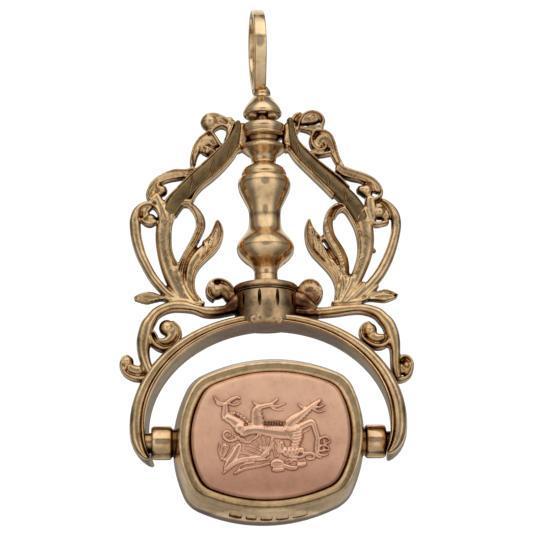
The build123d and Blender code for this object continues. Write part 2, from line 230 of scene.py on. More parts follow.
def smooth_step(a, b, c, d, t):
    """A number a share t of the way from b to c, on a smooth run through all four."""
    square = 2 * a - 5 * b + 4 * c - d
    cube = 3 * b - a - 3 * c + d
    return 0.5 * (2 * b + (c - a) * t + square * t**2 + cube * t**3)


def through_points(rows, steps):
    """A smooth run through rows of numbers, with a few steps between each two of them."""
    run = []
    for index in range(len(rows) - 1):
        four = [rows[max(index - 1, 0)], rows[index], rows[index + 1], rows[min(index + 2, len(rows) - 1)]]
        for step in range(steps):
            run.append(tuple(smooth_step(*numbers, step / steps) for numbers in zip(*four)))
    run.append(tuple(rows[-1]))
    return run


def oval(count, squareness=2.0):
    """An oval of half-width and half-height 1, drawn out to a box by its squareness."""
    points = []
    for index in range(count):
        angle = math.pi / 2 + 2 * math.pi * index / count
        across = math.copysign(abs(math.cos(angle)) ** (2 / squareness), math.cos(angle))
        up = math.copysign(abs(math.sin(angle)) ** (2 / squareness), math.sin(angle))
        points.append((across, up))
    return points


def flat_ball(x, y, z, radius, half_thickness):
    """A ball, flattened to its half thickness."""
    clear_selection()
    bpy.ops.mesh.primitive_uv_sphere_add(segments=20, ring_count=12, radius=radius)
    ball = bpy.context.object
    edit_all(ball)
    stretch((1, half_thickness / radius, 1), (0, 0, 0))
    bpy.ops.transform.translate(value=(x, y, z))
    leave_edit()
    return ball


def join(name, pieces):
    """Joins pieces to one."""
    clear_selection()
    for piece in pieces:
        piece.select_set(True)
    bpy.context.view_layer.objects.active = pieces[0]
    bpy.ops.object.join()
    whole = bpy.context.object
    whole.name = name
    return whole


def apply_modifier(piece, kind, **settings):
    """Adds a modifier with its settings and applies it."""
    pick(piece)
    modifier = piece.modifiers.new(kind.lower(), kind)
    for setting, value in settings.items():
        setattr(modifier, setting, value)
    bpy.ops.object.modifier_apply(modifier=modifier.name)


def fuse(piece, voxel, rounds):
    """Casts overlapping stems as one skin: voxels, then rounds of smoothing."""
    apply_modifier(piece, "REMESH", mode="VOXEL", voxel_size=voxel)
    apply_modifier(piece, "SMOOTH", factor=0.5, iterations=rounds)


def carve(piece, cutters, solver="EXACT"):
    """Takes cutters away from a piece."""
    cutter = join("cutter", cutters)
    apply_modifier(piece, "BOOLEAN", object=cutter, operation="DIFFERENCE", solver=solver)
    pick(cutter)
    bpy.ops.object.delete()


def settle(piece, crease=None):
    """Brings a piece to metres, shaded smooth, but for edges sharper than the crease in degrees."""
    pick(piece)
    piece.scale = (MM, MM, MM)
    bpy.ops.object.transform_apply(location=True, rotation=True, scale=True)
    if crease is None:
        bpy.ops.object.shade_smooth()
    else:
        bpy.ops.object.shade_smooth_by_angle(angle=math.radians(crease))


# Stems of the castings, drawn one by one. Each: outline, thickness in mm, and rows of across, up and width:
# across, share of casting_half_width; up from the foot, share of casting_height, or of bow_rise below it;
# width in mm.
LEFT_STEMS = {
    "band": ("band", 1.85, [
        (0.189, 1.011, 0.46), (0.197, 0.971, 0.83), (0.225, 0.918, 1.23), (0.268, 0.864, 1.69),
        (0.332, 0.813, 1.86), (0.406, 0.767, 1.79), (0.481, 0.724, 1.74), (0.552, 0.680, 1.70),
        (0.616, 0.637, 1.71), (0.674, 0.590, 1.69), (0.712, 0.544, 1.51),
    ]),
    "broad": ("soft", 1.6, [
        (0.707, 0.570, 1.61), (0.741, 0.519, 1.63), (0.764, 0.458, 1.57), (0.768, 0.397, 1.49),
        (0.754, 0.331, 1.50), (0.728, 0.265, 1.53), (0.688, 0.200, 1.60), (0.644, 0.145, 1.58),
        (0.599, 0.100, 1.07),
    ]),
    "broad_edge": ("round", 1.9, [
        (0.609, 0.585, 0.31), (0.651, 0.567, 0.33), (0.686, 0.531, 0.31), (0.707, 0.480, 0.29),
        (0.713, 0.419, 0.29), (0.710, 0.358, 0.31), (0.688, 0.308, 0.31), (0.658, 0.273, 0.31),
    ]),
    "inner": ("roof", 1.75, [
        (0.623, 0.581, 0.18), (0.593, 0.592, 0.34), (0.551, 0.578, 0.71), (0.510, 0.545, 0.87),
        (0.486, 0.509, 0.99), (0.485, 0.473, 1.01), (0.504, 0.438, 0.95), (0.531, 0.400, 0.93),
        (0.566, 0.361, 0.87), (0.600, 0.323, 0.78), (0.631, 0.285, 0.70), (0.650, 0.245, 0.62),
    ]),
    "inner_edge": ("round", 1.95, [
        (0.542, 0.569, 0.27), (0.497, 0.534, 0.29), (0.473, 0.496, 0.31), (0.472, 0.462, 0.31),
        (0.495, 0.419, 0.31), (0.526, 0.379, 0.29), (0.564, 0.341, 0.29), (0.598, 0.303, 0.27),
        (0.620, 0.262, 0.27), (0.629, 0.222, 0.27), (0.625, 0.182, 0.27),
    ]),
    "leaf": ("soft", 1.15, [
        (0.356, 0.504, 0.28), (0.349, 0.469, 0.79), (0.361, 0.428, 1.03), (0.399, 0.392, 1.19),
        (0.453, 0.356, 1.28), (0.510, 0.321, 1.29), (0.552, 0.280, 1.13), (0.571, 0.235, 0.97),
        (0.576, 0.190, 0.94), (0.565, 0.140, 0.90), (0.532, 0.095, 0.83),
    ]),
    "leaf_edge": ("round", 1.85, [
        (0.356, 0.502, 0.20), (0.332, 0.476, 0.31), (0.323, 0.440, 0.33), (0.337, 0.394, 0.33),
        (0.380, 0.349, 0.33), (0.448, 0.306, 0.31), (0.505, 0.265, 0.31), (0.535, 0.223, 0.31),
        (0.543, 0.178, 0.31), (0.529, 0.135, 0.31), (0.496, 0.100, 0.41),
    ]),
    "leaf_back": ("round", 1.7, [
        (0.367, 0.497, 0.20), (0.390, 0.456, 0.22), (0.423, 0.418, 0.22), (0.469, 0.392, 0.24),
    ]),
    "leaf_rib_one": ("round", 1.5, [
        (0.370, 0.447, 0.16), (0.393, 0.401, 0.18), (0.417, 0.365, 0.16),
    ]),
    "leaf_rib_two": ("round", 1.5, [
        (0.408, 0.411, 0.16), (0.428, 0.370, 0.18), (0.447, 0.335, 0.16),
    ]),
    "leaf_rib_three": ("round", 1.45, [
        (0.450, 0.386, 0.16), (0.462, 0.350, 0.20), (0.485, 0.312, 0.16),
    ]),
    "sheath": ("soft", 1.6, [
        (0.672, 0.265, 0.56), (0.661, 0.220, 0.84), (0.636, 0.170, 1.01), (0.599, 0.120, 0.97),
        (0.547, 0.080, 0.85),
    ]),
    "main": ("soft", 2.2, [
        (0.226, 0.059, 0.99), (0.294, 0.050, 1.03), (0.376, 0.042, 1.08), (0.458, 0.043, 1.03),
        (0.533, 0.057, 0.79), (0.615, 0.070, 1.03), (0.704, 0.070, 1.03), (0.782, 0.053, 1.02),
        (0.842, 0.023, 1.13), (0.883, -0.035, 1.36), (0.904, -0.132, 1.48), (0.916, -0.224, 1.42),
        (0.916, -0.325, 1.22), (0.899, -0.427, 1.06), (0.873, -0.518, 0.97), (0.840, -0.608, 0.76),
    ]),
    "lower_floor": ("soft", 1.35, [
        (0.810, -0.204, 0.50), (0.758, -0.214, 0.81), (0.713, -0.173, 1.09), (0.698, -0.102, 1.28),
        (0.720, -0.061, 0.98),
    ]),
    "lower_rim": ("round", 1.95, [
        (0.873, -0.146, 0.61), (0.851, -0.218, 0.66), (0.814, -0.268, 0.66), (0.763, -0.294, 0.61),
        (0.707, -0.274, 0.51), (0.660, -0.218, 0.43), (0.643, -0.142, 0.37), (0.658, -0.069, 0.37),
        (0.699, -0.018, 0.39),
    ]),
    "curl_floor": ("soft", 1.2, [
        (0.914, -0.497, 0.93), (0.973, -0.502, 1.03), (1.025, -0.472, 0.94),
    ]),
    "outer_curl": ("round", 1.7, [
        (0.878, -0.579, 0.71), (0.933, -0.589, 0.66), (0.992, -0.582, 0.56), (1.043, -0.548, 0.47),
        (1.074, -0.493, 0.41), (1.082, -0.427, 0.37), (1.064, -0.379, 0.37), (1.032, -0.362, 0.41),
    ]),
    "curl_knob": ("round", 1.75, [
        (0.900, -0.408, 0.51), (0.922, -0.464, 0.61), (0.918, -0.519, 0.51),
    ]),
    "side_leaf_top": ("roof", 1.5, [
        (0.983, 0.118, 0.16), (0.942, 0.131, 0.24), (0.890, 0.137, 0.43), (0.830, 0.131, 0.39),
        (0.771, 0.117, 0.19), (0.711, 0.107, 0.16),
    ]),
    "side_leaf_foot": ("roof", 1.5, [
        (0.983, 0.110, 0.16), (0.942, 0.100, 0.19), (0.890, 0.095, 0.33), (0.838, 0.101, 0.28),
        (0.778, 0.107, 0.16), (0.726, 0.106, 0.16),
    ]),
    "outer": ("soft", 1.6, [
        (0.842, 0.593, 0.27), (0.888, 0.593, 0.32), (0.929, 0.580, 0.52), (0.965, 0.552, 0.80),
        (0.979, 0.513, 1.03), (0.976, 0.473, 1.12), (0.970, 0.427, 1.09), (0.953, 0.376, 1.07),
        (0.929, 0.326, 1.00), (0.893, 0.275, 0.95), (0.848, 0.220, 0.92), (0.795, 0.175, 0.89),
        (0.730, 0.130, 0.87), (0.652, 0.100, 0.75),
    ]),
    "outer_edge": ("round", 1.75, [
        (0.851, 0.581, 0.31), (0.892, 0.584, 0.33), (0.937, 0.570, 0.33), (0.977, 0.539, 0.33),
        (0.998, 0.501, 0.31),
    ]),
    "outer_floor": ("soft", 1.1, [
        (0.865, 0.575, 0.68), (0.899, 0.555, 0.85), (0.896, 0.519, 0.79),
    ]),
    "middle_floor": ("soft", 1.25, [
        (0.530, 0.769, 0.53), (0.606, 0.748, 0.72), (0.682, 0.740, 0.77), (0.751, 0.730, 0.83),
        (0.808, 0.706, 0.92), (0.846, 0.673, 0.94), (0.850, 0.632, 0.89),
    ]),
    "middle_outer": ("round", 1.75, [
        (0.531, 0.768, 0.41), (0.600, 0.758, 0.31), (0.675, 0.759, 0.31), (0.748, 0.742, 0.31),
        (0.812, 0.713, 0.31), (0.858, 0.680, 0.33), (0.884, 0.646, 0.33), (0.875, 0.616, 0.35),
        (0.843, 0.600, 0.41),
    ]),
    "middle_inner": ("round", 1.7, [
        (0.577, 0.730, 0.31), (0.653, 0.722, 0.31), (0.725, 0.713, 0.31), (0.790, 0.696, 0.33),
        (0.816, 0.675, 0.31),
    ]),
    "middle_mid": ("round", 1.5, [
        (0.630, 0.739, 0.20), (0.698, 0.737, 0.22), (0.763, 0.724, 0.22), (0.816, 0.697, 0.20),
    ]),
    "second_floor": ("soft", 1.2, [
        (0.537, 0.792, 0.57), (0.525, 0.839, 0.75), (0.494, 0.884, 1.00), (0.447, 0.913, 1.15),
        (0.401, 0.918, 1.14), (0.375, 0.892, 0.90),
    ]),
    "second_outer": ("round", 1.75, [
        (0.545, 0.774, 0.37), (0.549, 0.810, 0.33), (0.541, 0.851, 0.33), (0.518, 0.894, 0.33),
        (0.479, 0.929, 0.33), (0.437, 0.950, 0.35), (0.410, 0.964, 0.41), (0.384, 0.945, 0.41),
        (0.357, 0.917, 0.41), (0.335, 0.889, 0.41),
    ]),
    "second_mid": ("round", 1.5, [
        (0.499, 0.853, 0.20), (0.487, 0.887, 0.22), (0.453, 0.913, 0.22), (0.414, 0.916, 0.20),
    ]),
    "second_hook": ("round", 1.75, [
        (0.385, 0.860, 0.41), (0.423, 0.873, 0.46), (0.450, 0.881, 0.41),
    ]),
    "top_floor": ("soft", 1.2, [
        (0.215, 1.013, 0.33), (0.277, 1.023, 0.73), (0.342, 1.027, 1.12), (0.403, 1.023, 1.13),
    ]),
    "top_outer": ("round", 1.75, [
        (0.199, 0.999, 0.41), (0.241, 1.006, 0.47), (0.279, 1.023, 0.49), (0.328, 1.042, 0.49),
        (0.382, 1.051, 0.47), (0.432, 1.043, 0.45),
    ]),
    "top_inner": ("round", 1.65, [
        (0.245, 0.962, 0.51), (0.276, 0.988, 0.55), (0.321, 0.996, 0.51), (0.364, 0.982, 0.47),
        (0.395, 0.962, 0.45),
    ]),
    "top_mid": ("round", 1.45, [
        (0.282, 1.016, 0.18), (0.320, 1.029, 0.20), (0.363, 1.024, 0.20),
    ]),
    "barrel_floor": ("soft", 1.4, [
        (0.218, 0.094, 1.45), (0.262, 0.120, 1.56), (0.299, 0.150, 1.24), (0.351, 0.162, 1.31),
    ]),
    "barrel_rim": ("round", 1.85, [
        (0.241, 0.148, 0.37), (0.273, 0.180, 0.35), (0.319, 0.199, 0.35), (0.373, 0.203, 0.35),
        (0.419, 0.186, 0.37), (0.441, 0.154, 0.37), (0.432, 0.120, 0.35), (0.395, 0.100, 0.31),
    ]),
    "band_foot": ("round", 1.95, [
        (0.188, 0.891, 0.33), (0.219, 0.844, 0.37), (0.270, 0.799, 0.37), (0.332, 0.755, 0.37),
        (0.401, 0.714, 0.37), (0.474, 0.675, 0.37), (0.523, 0.636, 0.37), (0.547, 0.603, 0.37),
    ]),
    "band_top": ("round", 1.95, [
        (0.222, 1.008, 0.31), (0.250, 0.956, 0.33), (0.289, 0.903, 0.31), (0.351, 0.861, 0.31),
        (0.420, 0.817, 0.31), (0.493, 0.773, 0.31), (0.570, 0.726, 0.31), (0.646, 0.674, 0.31),
        (0.719, 0.623, 0.35), (0.757, 0.587, 0.41),
    ]),
    "junction": ("soft", 1.7, [
        (0.820, 0.632, 0.81), (0.793, 0.591, 1.11), (0.767, 0.550, 1.22), (0.745, 0.504, 0.93),
    ]),
    "junction_fold": ("round", 1.85, [
        (0.866, 0.587, 0.31), (0.824, 0.569, 0.33), (0.798, 0.536, 0.31), (0.791, 0.495, 0.27),
    ]),
    "lower_leaf": ("round", 1.7, [
        (0.862, -0.094, 0.31), (0.829, -0.135, 0.31), (0.814, -0.191, 0.31),
    ]),
    "side_leaf_floor": ("soft", 1.15, [
        (0.957, 0.115, 0.23), (0.898, 0.117, 0.73), (0.830, 0.116, 0.63), (0.756, 0.110, 0.33),
    ]),
    "second_eye": ("soft", 1.2, [
        (0.460, 0.860, 0.53), (0.414, 0.855, 0.63), (0.368, 0.866, 0.43),
    ]),
    "solder_collar": ("soft", 1.5, [
        (0.151, 0.992, 1.08), (0.155, 0.956, 1.18), (0.160, 0.908, 1.18), (0.169, 0.872, 0.67),
    ]),
    "top_wall": ("soft", 1.6, [
        (0.250, 1.029, 0.66), (0.261, 0.987, 0.53), (0.267, 0.947, 0.45), (0.287, 0.913, 0.42),
    ]),
    "top_side": ("soft", 1.5, [
        (0.408, 0.970, 0.36), (0.379, 0.947, 0.37), (0.352, 0.920, 0.39), (0.329, 0.894, 0.39),
    ]),
    "outer_foot": ("soft", 1.6, [
        (0.936, 0.510, 0.22), (0.896, 0.488, 0.29), (0.858, 0.483, 0.31), (0.817, 0.498, 0.26),
    ]),
    "band_notch": ("soft", 1.8, [
        (0.661, 0.609, 0.65), (0.608, 0.596, 0.84), (0.555, 0.594, 0.64),
    ]),
    "root_fill": ("soft", 1.7, [
        (0.465, 0.085, 0.35), (0.532, 0.082, 0.55), (0.614, 0.090, 0.55), (0.689, 0.097, 0.45),
        (0.756, 0.105, 0.26),
    ]),
    "barrel_web": ("soft", 2.3, [
        (0.142, 0.109, 1.69), (0.203, 0.094, 1.79), (0.259, 0.074, 1.21), (0.308, 0.055, 0.52),
    ]),
}

RIGHT_STEMS = {
    "band": ("soft", 1.85, [
        (0.209, 1.025, 0.67), (0.218, 0.973, 0.86), (0.233, 0.915, 1.12), (0.267, 0.866, 1.36),
        (0.321, 0.821, 1.52), (0.388, 0.774, 1.61), (0.463, 0.728, 1.65), (0.534, 0.684, 1.71),
        (0.603, 0.640, 1.77), (0.662, 0.595, 1.84), (0.706, 0.551, 1.82), (0.738, 0.506, 1.59),
    ]),
    "band_top": ("round", 1.95, [
        (0.235, 1.005, 0.31), (0.252, 0.947, 0.31), (0.270, 0.908, 0.31), (0.315, 0.874, 0.31),
        (0.367, 0.839, 0.31), (0.438, 0.795, 0.31), (0.513, 0.755, 0.31), (0.588, 0.714, 0.31),
        (0.647, 0.670, 0.31),
    ]),
    "band_foot": ("round", 1.9, [
        (0.205, 0.864, 0.35), (0.253, 0.818, 0.41), (0.319, 0.772, 0.41), (0.390, 0.724, 0.41),
        (0.464, 0.674, 0.41), (0.529, 0.628, 0.41),
    ]),
    "broad": ("soft", 1.6, [
        (0.723, 0.552, 1.82), (0.752, 0.501, 1.74), (0.768, 0.444, 1.63), (0.769, 0.388, 1.58),
        (0.754, 0.327, 1.49), (0.725, 0.271, 1.37), (0.688, 0.215, 1.26), (0.651, 0.160, 1.10),
        (0.611, 0.109, 0.99),
    ]),
    "broad_edge": ("round", 1.85, [
        (0.608, 0.564, 0.31), (0.648, 0.523, 0.31), (0.686, 0.472, 0.31), (0.709, 0.411, 0.31),
        (0.711, 0.350, 0.31), (0.693, 0.289, 0.31), (0.657, 0.228, 0.31),
    ]),
    "inner": ("roof", 1.75, [
        (0.617, 0.565, 0.20), (0.587, 0.580, 0.35), (0.541, 0.573, 0.69), (0.505, 0.542, 0.88),
        (0.486, 0.503, 0.96), (0.487, 0.462, 0.97), (0.504, 0.421, 0.95), (0.536, 0.383, 0.98),
        (0.569, 0.345, 0.99), (0.591, 0.304, 1.03), (0.603, 0.261, 0.87), (0.605, 0.220, 0.69),
    ]),
    "inner_edge": ("round", 1.95, [
        (0.559, 0.577, 0.31), (0.505, 0.561, 0.31), (0.472, 0.528, 0.31), (0.456, 0.487, 0.31),
        (0.459, 0.443, 0.31), (0.480, 0.401, 0.31), (0.513, 0.362, 0.31), (0.544, 0.321, 0.31),
        (0.563, 0.278, 0.31), (0.574, 0.233, 0.31),
    ]),
    "inner_hook": ("round", 1.85, [
        (0.630, 0.544, 0.35), (0.601, 0.561, 0.37), (0.562, 0.549, 0.31), (0.532, 0.518, 0.27),
    ]),
    "leaf": ("soft", 1.15, [
        (0.342, 0.508, 0.28), (0.337, 0.475, 0.70), (0.344, 0.434, 1.00), (0.373, 0.393, 1.16),
        (0.417, 0.355, 1.20), (0.465, 0.317, 1.20), (0.505, 0.276, 1.12), (0.537, 0.230, 1.04),
        (0.558, 0.180, 0.98), (0.555, 0.129, 0.90),
    ]),
    "leaf_edge": ("round", 1.85, [
        (0.335, 0.506, 0.20), (0.316, 0.472, 0.29), (0.312, 0.426, 0.31), (0.325, 0.377, 0.33),
        (0.361, 0.332, 0.33), (0.418, 0.290, 0.33), (0.474, 0.248, 0.31), (0.514, 0.205, 0.31),
        (0.532, 0.157, 0.31), (0.523, 0.107, 0.31),
    ]),
    "leaf_back": ("round", 1.65, [
        (0.343, 0.498, 0.20), (0.365, 0.462, 0.22), (0.401, 0.428, 0.24), (0.438, 0.401, 0.27),
    ]),
    "leaf_rib_one": ("round", 1.5, [
        (0.344, 0.463, 0.18), (0.358, 0.417, 0.20), (0.377, 0.371, 0.18),
    ]),
    "leaf_rib_two": ("round", 1.5, [
        (0.379, 0.435, 0.18), (0.396, 0.387, 0.20), (0.417, 0.341, 0.18),
    ]),
    "leaf_rib_three": ("round", 1.55, [
        (0.412, 0.407, 0.18), (0.440, 0.361, 0.24), (0.473, 0.313, 0.27), (0.508, 0.265, 0.24),
    ]),
    "sheath_one": ("soft", 1.7, [
        (0.562, 0.205, 0.59), (0.564, 0.165, 0.82), (0.550, 0.124, 0.74), (0.535, 0.089, 0.43),
    ]),
    "sheath_two": ("soft", 1.75, [
        (0.650, 0.210, 0.66), (0.640, 0.170, 0.91), (0.600, 0.124, 0.82), (0.561, 0.084, 0.46),
    ]),
    "sheath_three": ("soft", 1.7, [
        (0.743, 0.180, 0.54), (0.704, 0.150, 0.63), (0.649, 0.114, 0.57), (0.587, 0.079, 0.31),
    ]),
    "main": ("soft", 2.2, [
        (0.201, 0.039, 0.78), (0.291, 0.033, 0.83), (0.374, 0.036, 0.93), (0.457, 0.040, 0.98),
        (0.540, 0.047, 1.08), (0.624, 0.052, 0.94), (0.707, 0.055, 0.94), (0.789, 0.045, 1.01),
        (0.856, 0.021, 1.16), (0.907, -0.034, 1.34), (0.935, -0.126, 1.37), (0.950, -0.219, 1.25),
        (0.957, -0.311, 1.04), (0.955, -0.403, 0.94), (0.954, -0.495, 0.88), (0.964, -0.597, 0.86),
    ]),
    "lower_floor": ("soft", 1.35, [
        (0.873, -0.178, 0.70), (0.820, -0.188, 1.01), (0.780, -0.147, 1.20), (0.777, -0.095, 0.99),
    ]),
    "lower_rim": ("round", 1.95, [
        (0.928, -0.171, 0.51), (0.904, -0.233, 0.61), (0.858, -0.273, 0.66), (0.801, -0.273, 0.61),
        (0.746, -0.235, 0.51), (0.711, -0.176, 0.41), (0.704, -0.104, 0.37), (0.728, -0.053, 0.37),
        (0.770, -0.036, 0.41),
    ]),
    "curl_floor": ("soft", 1.25, [
        (0.970, -0.485, 0.93), (1.019, -0.505, 1.23), (1.047, -0.444, 1.10),
    ]),
    "outer_curl": ("round", 1.7, [
        (0.958, -0.613, 0.71), (1.010, -0.611, 0.63), (1.053, -0.573, 0.55), (1.074, -0.507, 0.49),
        (1.077, -0.441, 0.45), (1.055, -0.391, 0.45), (1.016, -0.376, 0.45), (0.984, -0.409, 0.41),
    ]),
    "side_leaf_top": ("roof", 1.5, [
        (0.991, 0.123, 0.16), (0.950, 0.136, 0.19), (0.901, 0.143, 0.38), (0.843, 0.135, 0.39),
        (0.786, 0.118, 0.25), (0.728, 0.102, 0.16),
    ]),
    "side_leaf_foot": ("roof", 1.5, [
        (0.986, 0.114, 0.16), (0.944, 0.102, 0.19), (0.894, 0.095, 0.33), (0.841, 0.097, 0.28),
        (0.785, 0.098, 0.16), (0.731, 0.094, 0.16),
    ]),
    "outer": ("soft", 1.6, [
        (0.895, 0.607, 0.30), (0.933, 0.592, 0.52), (0.972, 0.563, 0.77), (0.997, 0.527, 0.94),
        (1.002, 0.483, 0.99), (0.993, 0.435, 0.95), (0.965, 0.370, 1.00), (0.923, 0.302, 1.08),
        (0.860, 0.230, 1.09), (0.795, 0.180, 1.04), (0.728, 0.134, 0.93), (0.652, 0.094, 0.67),
    ]),
    "outer_edge": ("round", 1.8, [
        (0.897, 0.601, 0.31), (0.946, 0.583, 0.33), (0.989, 0.553, 0.33), (1.013, 0.514, 0.31),
        (1.016, 0.473, 0.31),
    ]),
    "outer_floor": ("soft", 1.2, [
        (0.863, 0.578, 1.09), (0.900, 0.548, 1.20), (0.929, 0.519, 1.00),
    ]),
    "outer_foot": ("round", 1.7, [
        (0.804, 0.496, 0.51), (0.845, 0.483, 0.56), (0.888, 0.486, 0.51), (0.934, 0.494, 0.51),
    ]),
    "outer_back": ("round", 1.6, [
        (0.844, 0.169, 0.35), (0.801, 0.143, 0.37), (0.755, 0.118, 0.35),
    ]),
    "middle_floor": ("soft", 1.3, [
        (0.565, 0.780, 0.63), (0.633, 0.760, 0.82), (0.710, 0.743, 0.82), (0.782, 0.726, 0.83),
        (0.842, 0.698, 0.88), (0.871, 0.659, 0.92),
    ]),
    "middle_outer": ("round", 1.8, [
        (0.577, 0.790, 0.35), (0.618, 0.767, 0.33), (0.694, 0.751, 0.31), (0.770, 0.734, 0.31),
        (0.838, 0.711, 0.35), (0.886, 0.675, 0.37), (0.896, 0.638, 0.39), (0.860, 0.613, 0.43),
        (0.810, 0.611, 0.45),
    ]),
    "middle_inner": ("round", 1.7, [
        (0.556, 0.762, 0.35), (0.605, 0.736, 0.33), (0.670, 0.720, 0.31), (0.734, 0.711, 0.31),
        (0.787, 0.696, 0.27),
    ]),
    "second_floor": ("soft", 1.2, [
        (0.415, 0.863, 0.77), (0.424, 0.905, 1.22), (0.468, 0.934, 1.23), (0.513, 0.916, 1.10),
        (0.535, 0.874, 0.94), (0.559, 0.827, 0.78), (0.592, 0.785, 0.72),
    ]),
    "second_outer": ("round", 1.75, [
        (0.372, 0.962, 0.41), (0.423, 0.966, 0.37), (0.480, 0.963, 0.35), (0.522, 0.942, 0.37),
        (0.543, 0.907, 0.37), (0.559, 0.866, 0.37), (0.578, 0.821, 0.37), (0.607, 0.780, 0.37),
    ]),
    "second_ring": ("round", 1.8, [
        (0.391, 0.956, 0.41), (0.369, 0.927, 0.45), (0.377, 0.892, 0.49), (0.415, 0.866, 0.51),
        (0.458, 0.866, 0.49), (0.483, 0.886, 0.41), (0.462, 0.903, 0.33),
    ]),
    "second_foot": ("round", 1.7, [
        (0.372, 0.857, 0.45), (0.418, 0.843, 0.45), (0.464, 0.845, 0.45), (0.518, 0.853, 0.45),
    ]),
    "top_floor": ("soft", 1.25, [
        (0.274, 1.015, 0.84), (0.321, 1.031, 1.33), (0.375, 1.037, 1.52), (0.421, 1.035, 1.12),
    ]),
    "top_ring": ("round", 1.8, [
        (0.265, 0.964, 0.35), (0.278, 1.003, 0.35), (0.302, 1.040, 0.37), (0.345, 1.061, 0.39),
        (0.396, 1.065, 0.41), (0.444, 1.050, 0.43), (0.468, 1.020, 0.45), (0.447, 0.994, 0.41),
        (0.400, 0.985, 0.35), (0.346, 0.983, 0.33),
    ]),
    "top_link": ("round", 1.7, [
        (0.353, 0.965, 0.31), (0.408, 0.971, 0.31), (0.462, 0.984, 0.31),
    ]),
    "top_stub": ("round", 1.6, [
        (0.225, 1.017, 0.41), (0.249, 1.046, 0.51), (0.288, 1.058, 0.41),
    ]),
    "barrel_floor": ("soft", 1.5, [
        (0.195, 0.089, 1.43), (0.249, 0.119, 1.73), (0.303, 0.147, 1.71), (0.349, 0.157, 1.42),
        (0.370, 0.119, 1.33),
    ]),
    "barrel_rim": ("round", 1.75, [
        (0.247, 0.160, 0.31), (0.282, 0.187, 0.33), (0.328, 0.198, 0.35), (0.376, 0.188, 0.37),
        (0.408, 0.160, 0.41), (0.415, 0.128, 0.43), (0.399, 0.098, 0.43), (0.376, 0.080, 0.41),
    ]),
    "barrel_flute_one": ("round", 1.55, [
        (0.277, 0.144, 0.18), (0.272, 0.108, 0.20), (0.293, 0.073, 0.20),
    ]),
    "barrel_flute_two": ("round", 1.5, [
        (0.311, 0.141, 0.18), (0.306, 0.109, 0.20), (0.327, 0.076, 0.20),
    ]),
    "side_leaf_floor": ("soft", 1.15, [
        (0.960, 0.119, 0.23), (0.899, 0.119, 0.73), (0.831, 0.115, 0.63), (0.762, 0.104, 0.34),
    ]),
    "junction": ("soft", 1.7, [
        (0.804, 0.620, 0.88), (0.809, 0.578, 1.27), (0.818, 0.537, 1.17), (0.821, 0.506, 0.79),
    ]),
    "top_back": ("soft", 1.3, [
        (0.280, 0.984, 0.42), (0.326, 0.976, 0.46), (0.380, 0.971, 0.46), (0.442, 0.979, 0.31),
    ]),
    "barrel_foot": ("soft", 1.5, [
        (0.240, 0.064, 0.59), (0.300, 0.077, 0.69), (0.361, 0.082, 0.58),
    ]),
    "solder_collar": ("soft", 1.5, [
        (0.196, 0.994, 1.09), (0.199, 0.957, 1.19), (0.189, 0.910, 1.18), (0.188, 0.873, 0.70),
    ]),
    "leaf_shell": ("soft", 1.5, [
        (0.498, 0.296, 0.48), (0.538, 0.256, 0.60), (0.570, 0.210, 0.61),
    ]),
    "leaf_fill": ("soft", 1.5, [
        (0.439, 0.429, 0.19), (0.472, 0.390, 0.35), (0.505, 0.355, 0.36), (0.533, 0.317, 0.26),
    ]),
    "v_fill": ("soft", 1.4, [
        (0.604, 0.230, 0.50), (0.603, 0.192, 0.88), (0.591, 0.155, 0.86),
    ]),
    "root_fill": ("soft", 1.7, [
        (0.497, 0.084, 0.35), (0.565, 0.082, 0.55), (0.640, 0.084, 0.55), (0.709, 0.092, 0.46),
        (0.770, 0.104, 0.26),
    ]),
    "barrel_web": ("soft", 2.3, [
        (0.196, 0.109, 1.68), (0.263, 0.094, 1.79), (0.319, 0.074, 1.21), (0.371, 0.052, 0.52),
    ]),
}

# Round buds of the castings. Columns: across and up, as for the stems; radius and half thickness in mm.
LEFT_BALLS = [
    (0.407, 1.015, 0.94, 1.05),
    (0.429, 0.855, 0.38, 0.85),
    (0.774, 0.658, 0.58, 0.9),
    (0.808, 0.675, 0.36, 0.9),
    (0.861, 0.509, 0.64, 0.88),
    (0.921, -0.462, 0.34, 0.9),
    (1.038, -0.414, 0.66, 0.9),
    (1.048, -0.482, 0.30, 0.9),
    (0.742, -0.069, 0.82, 0.95),
    (0.370, 0.147, 0.86, 0.85),
    (0.401, 0.170, 0.52, 0.9),
    (0.842, 0.612, 0.36, 0.9),
    (0.186, 0.874, 0.34, 1.2),
]

RIGHT_BALLS = [
    (0.781, 0.657, 0.74, 0.95),
    (0.740, 0.661, 0.47, 0.9),
    (0.876, 0.544, 0.72, 0.9),
    (0.771, -0.106, 0.78, 0.95),
    (1.035, -0.470, 0.46, 0.95),
    (0.382, 0.140, 0.56, 0.95),
    (0.386, 0.022, 0.26, 1.15),
    (0.824, 0.350, 0.26, 0.4),
    (0.937, -0.188, 0.34, 0.9),
    (0.387, 1.034, 0.40, 0.8),
    (0.179, 0.876, 0.30, 1.2),
]

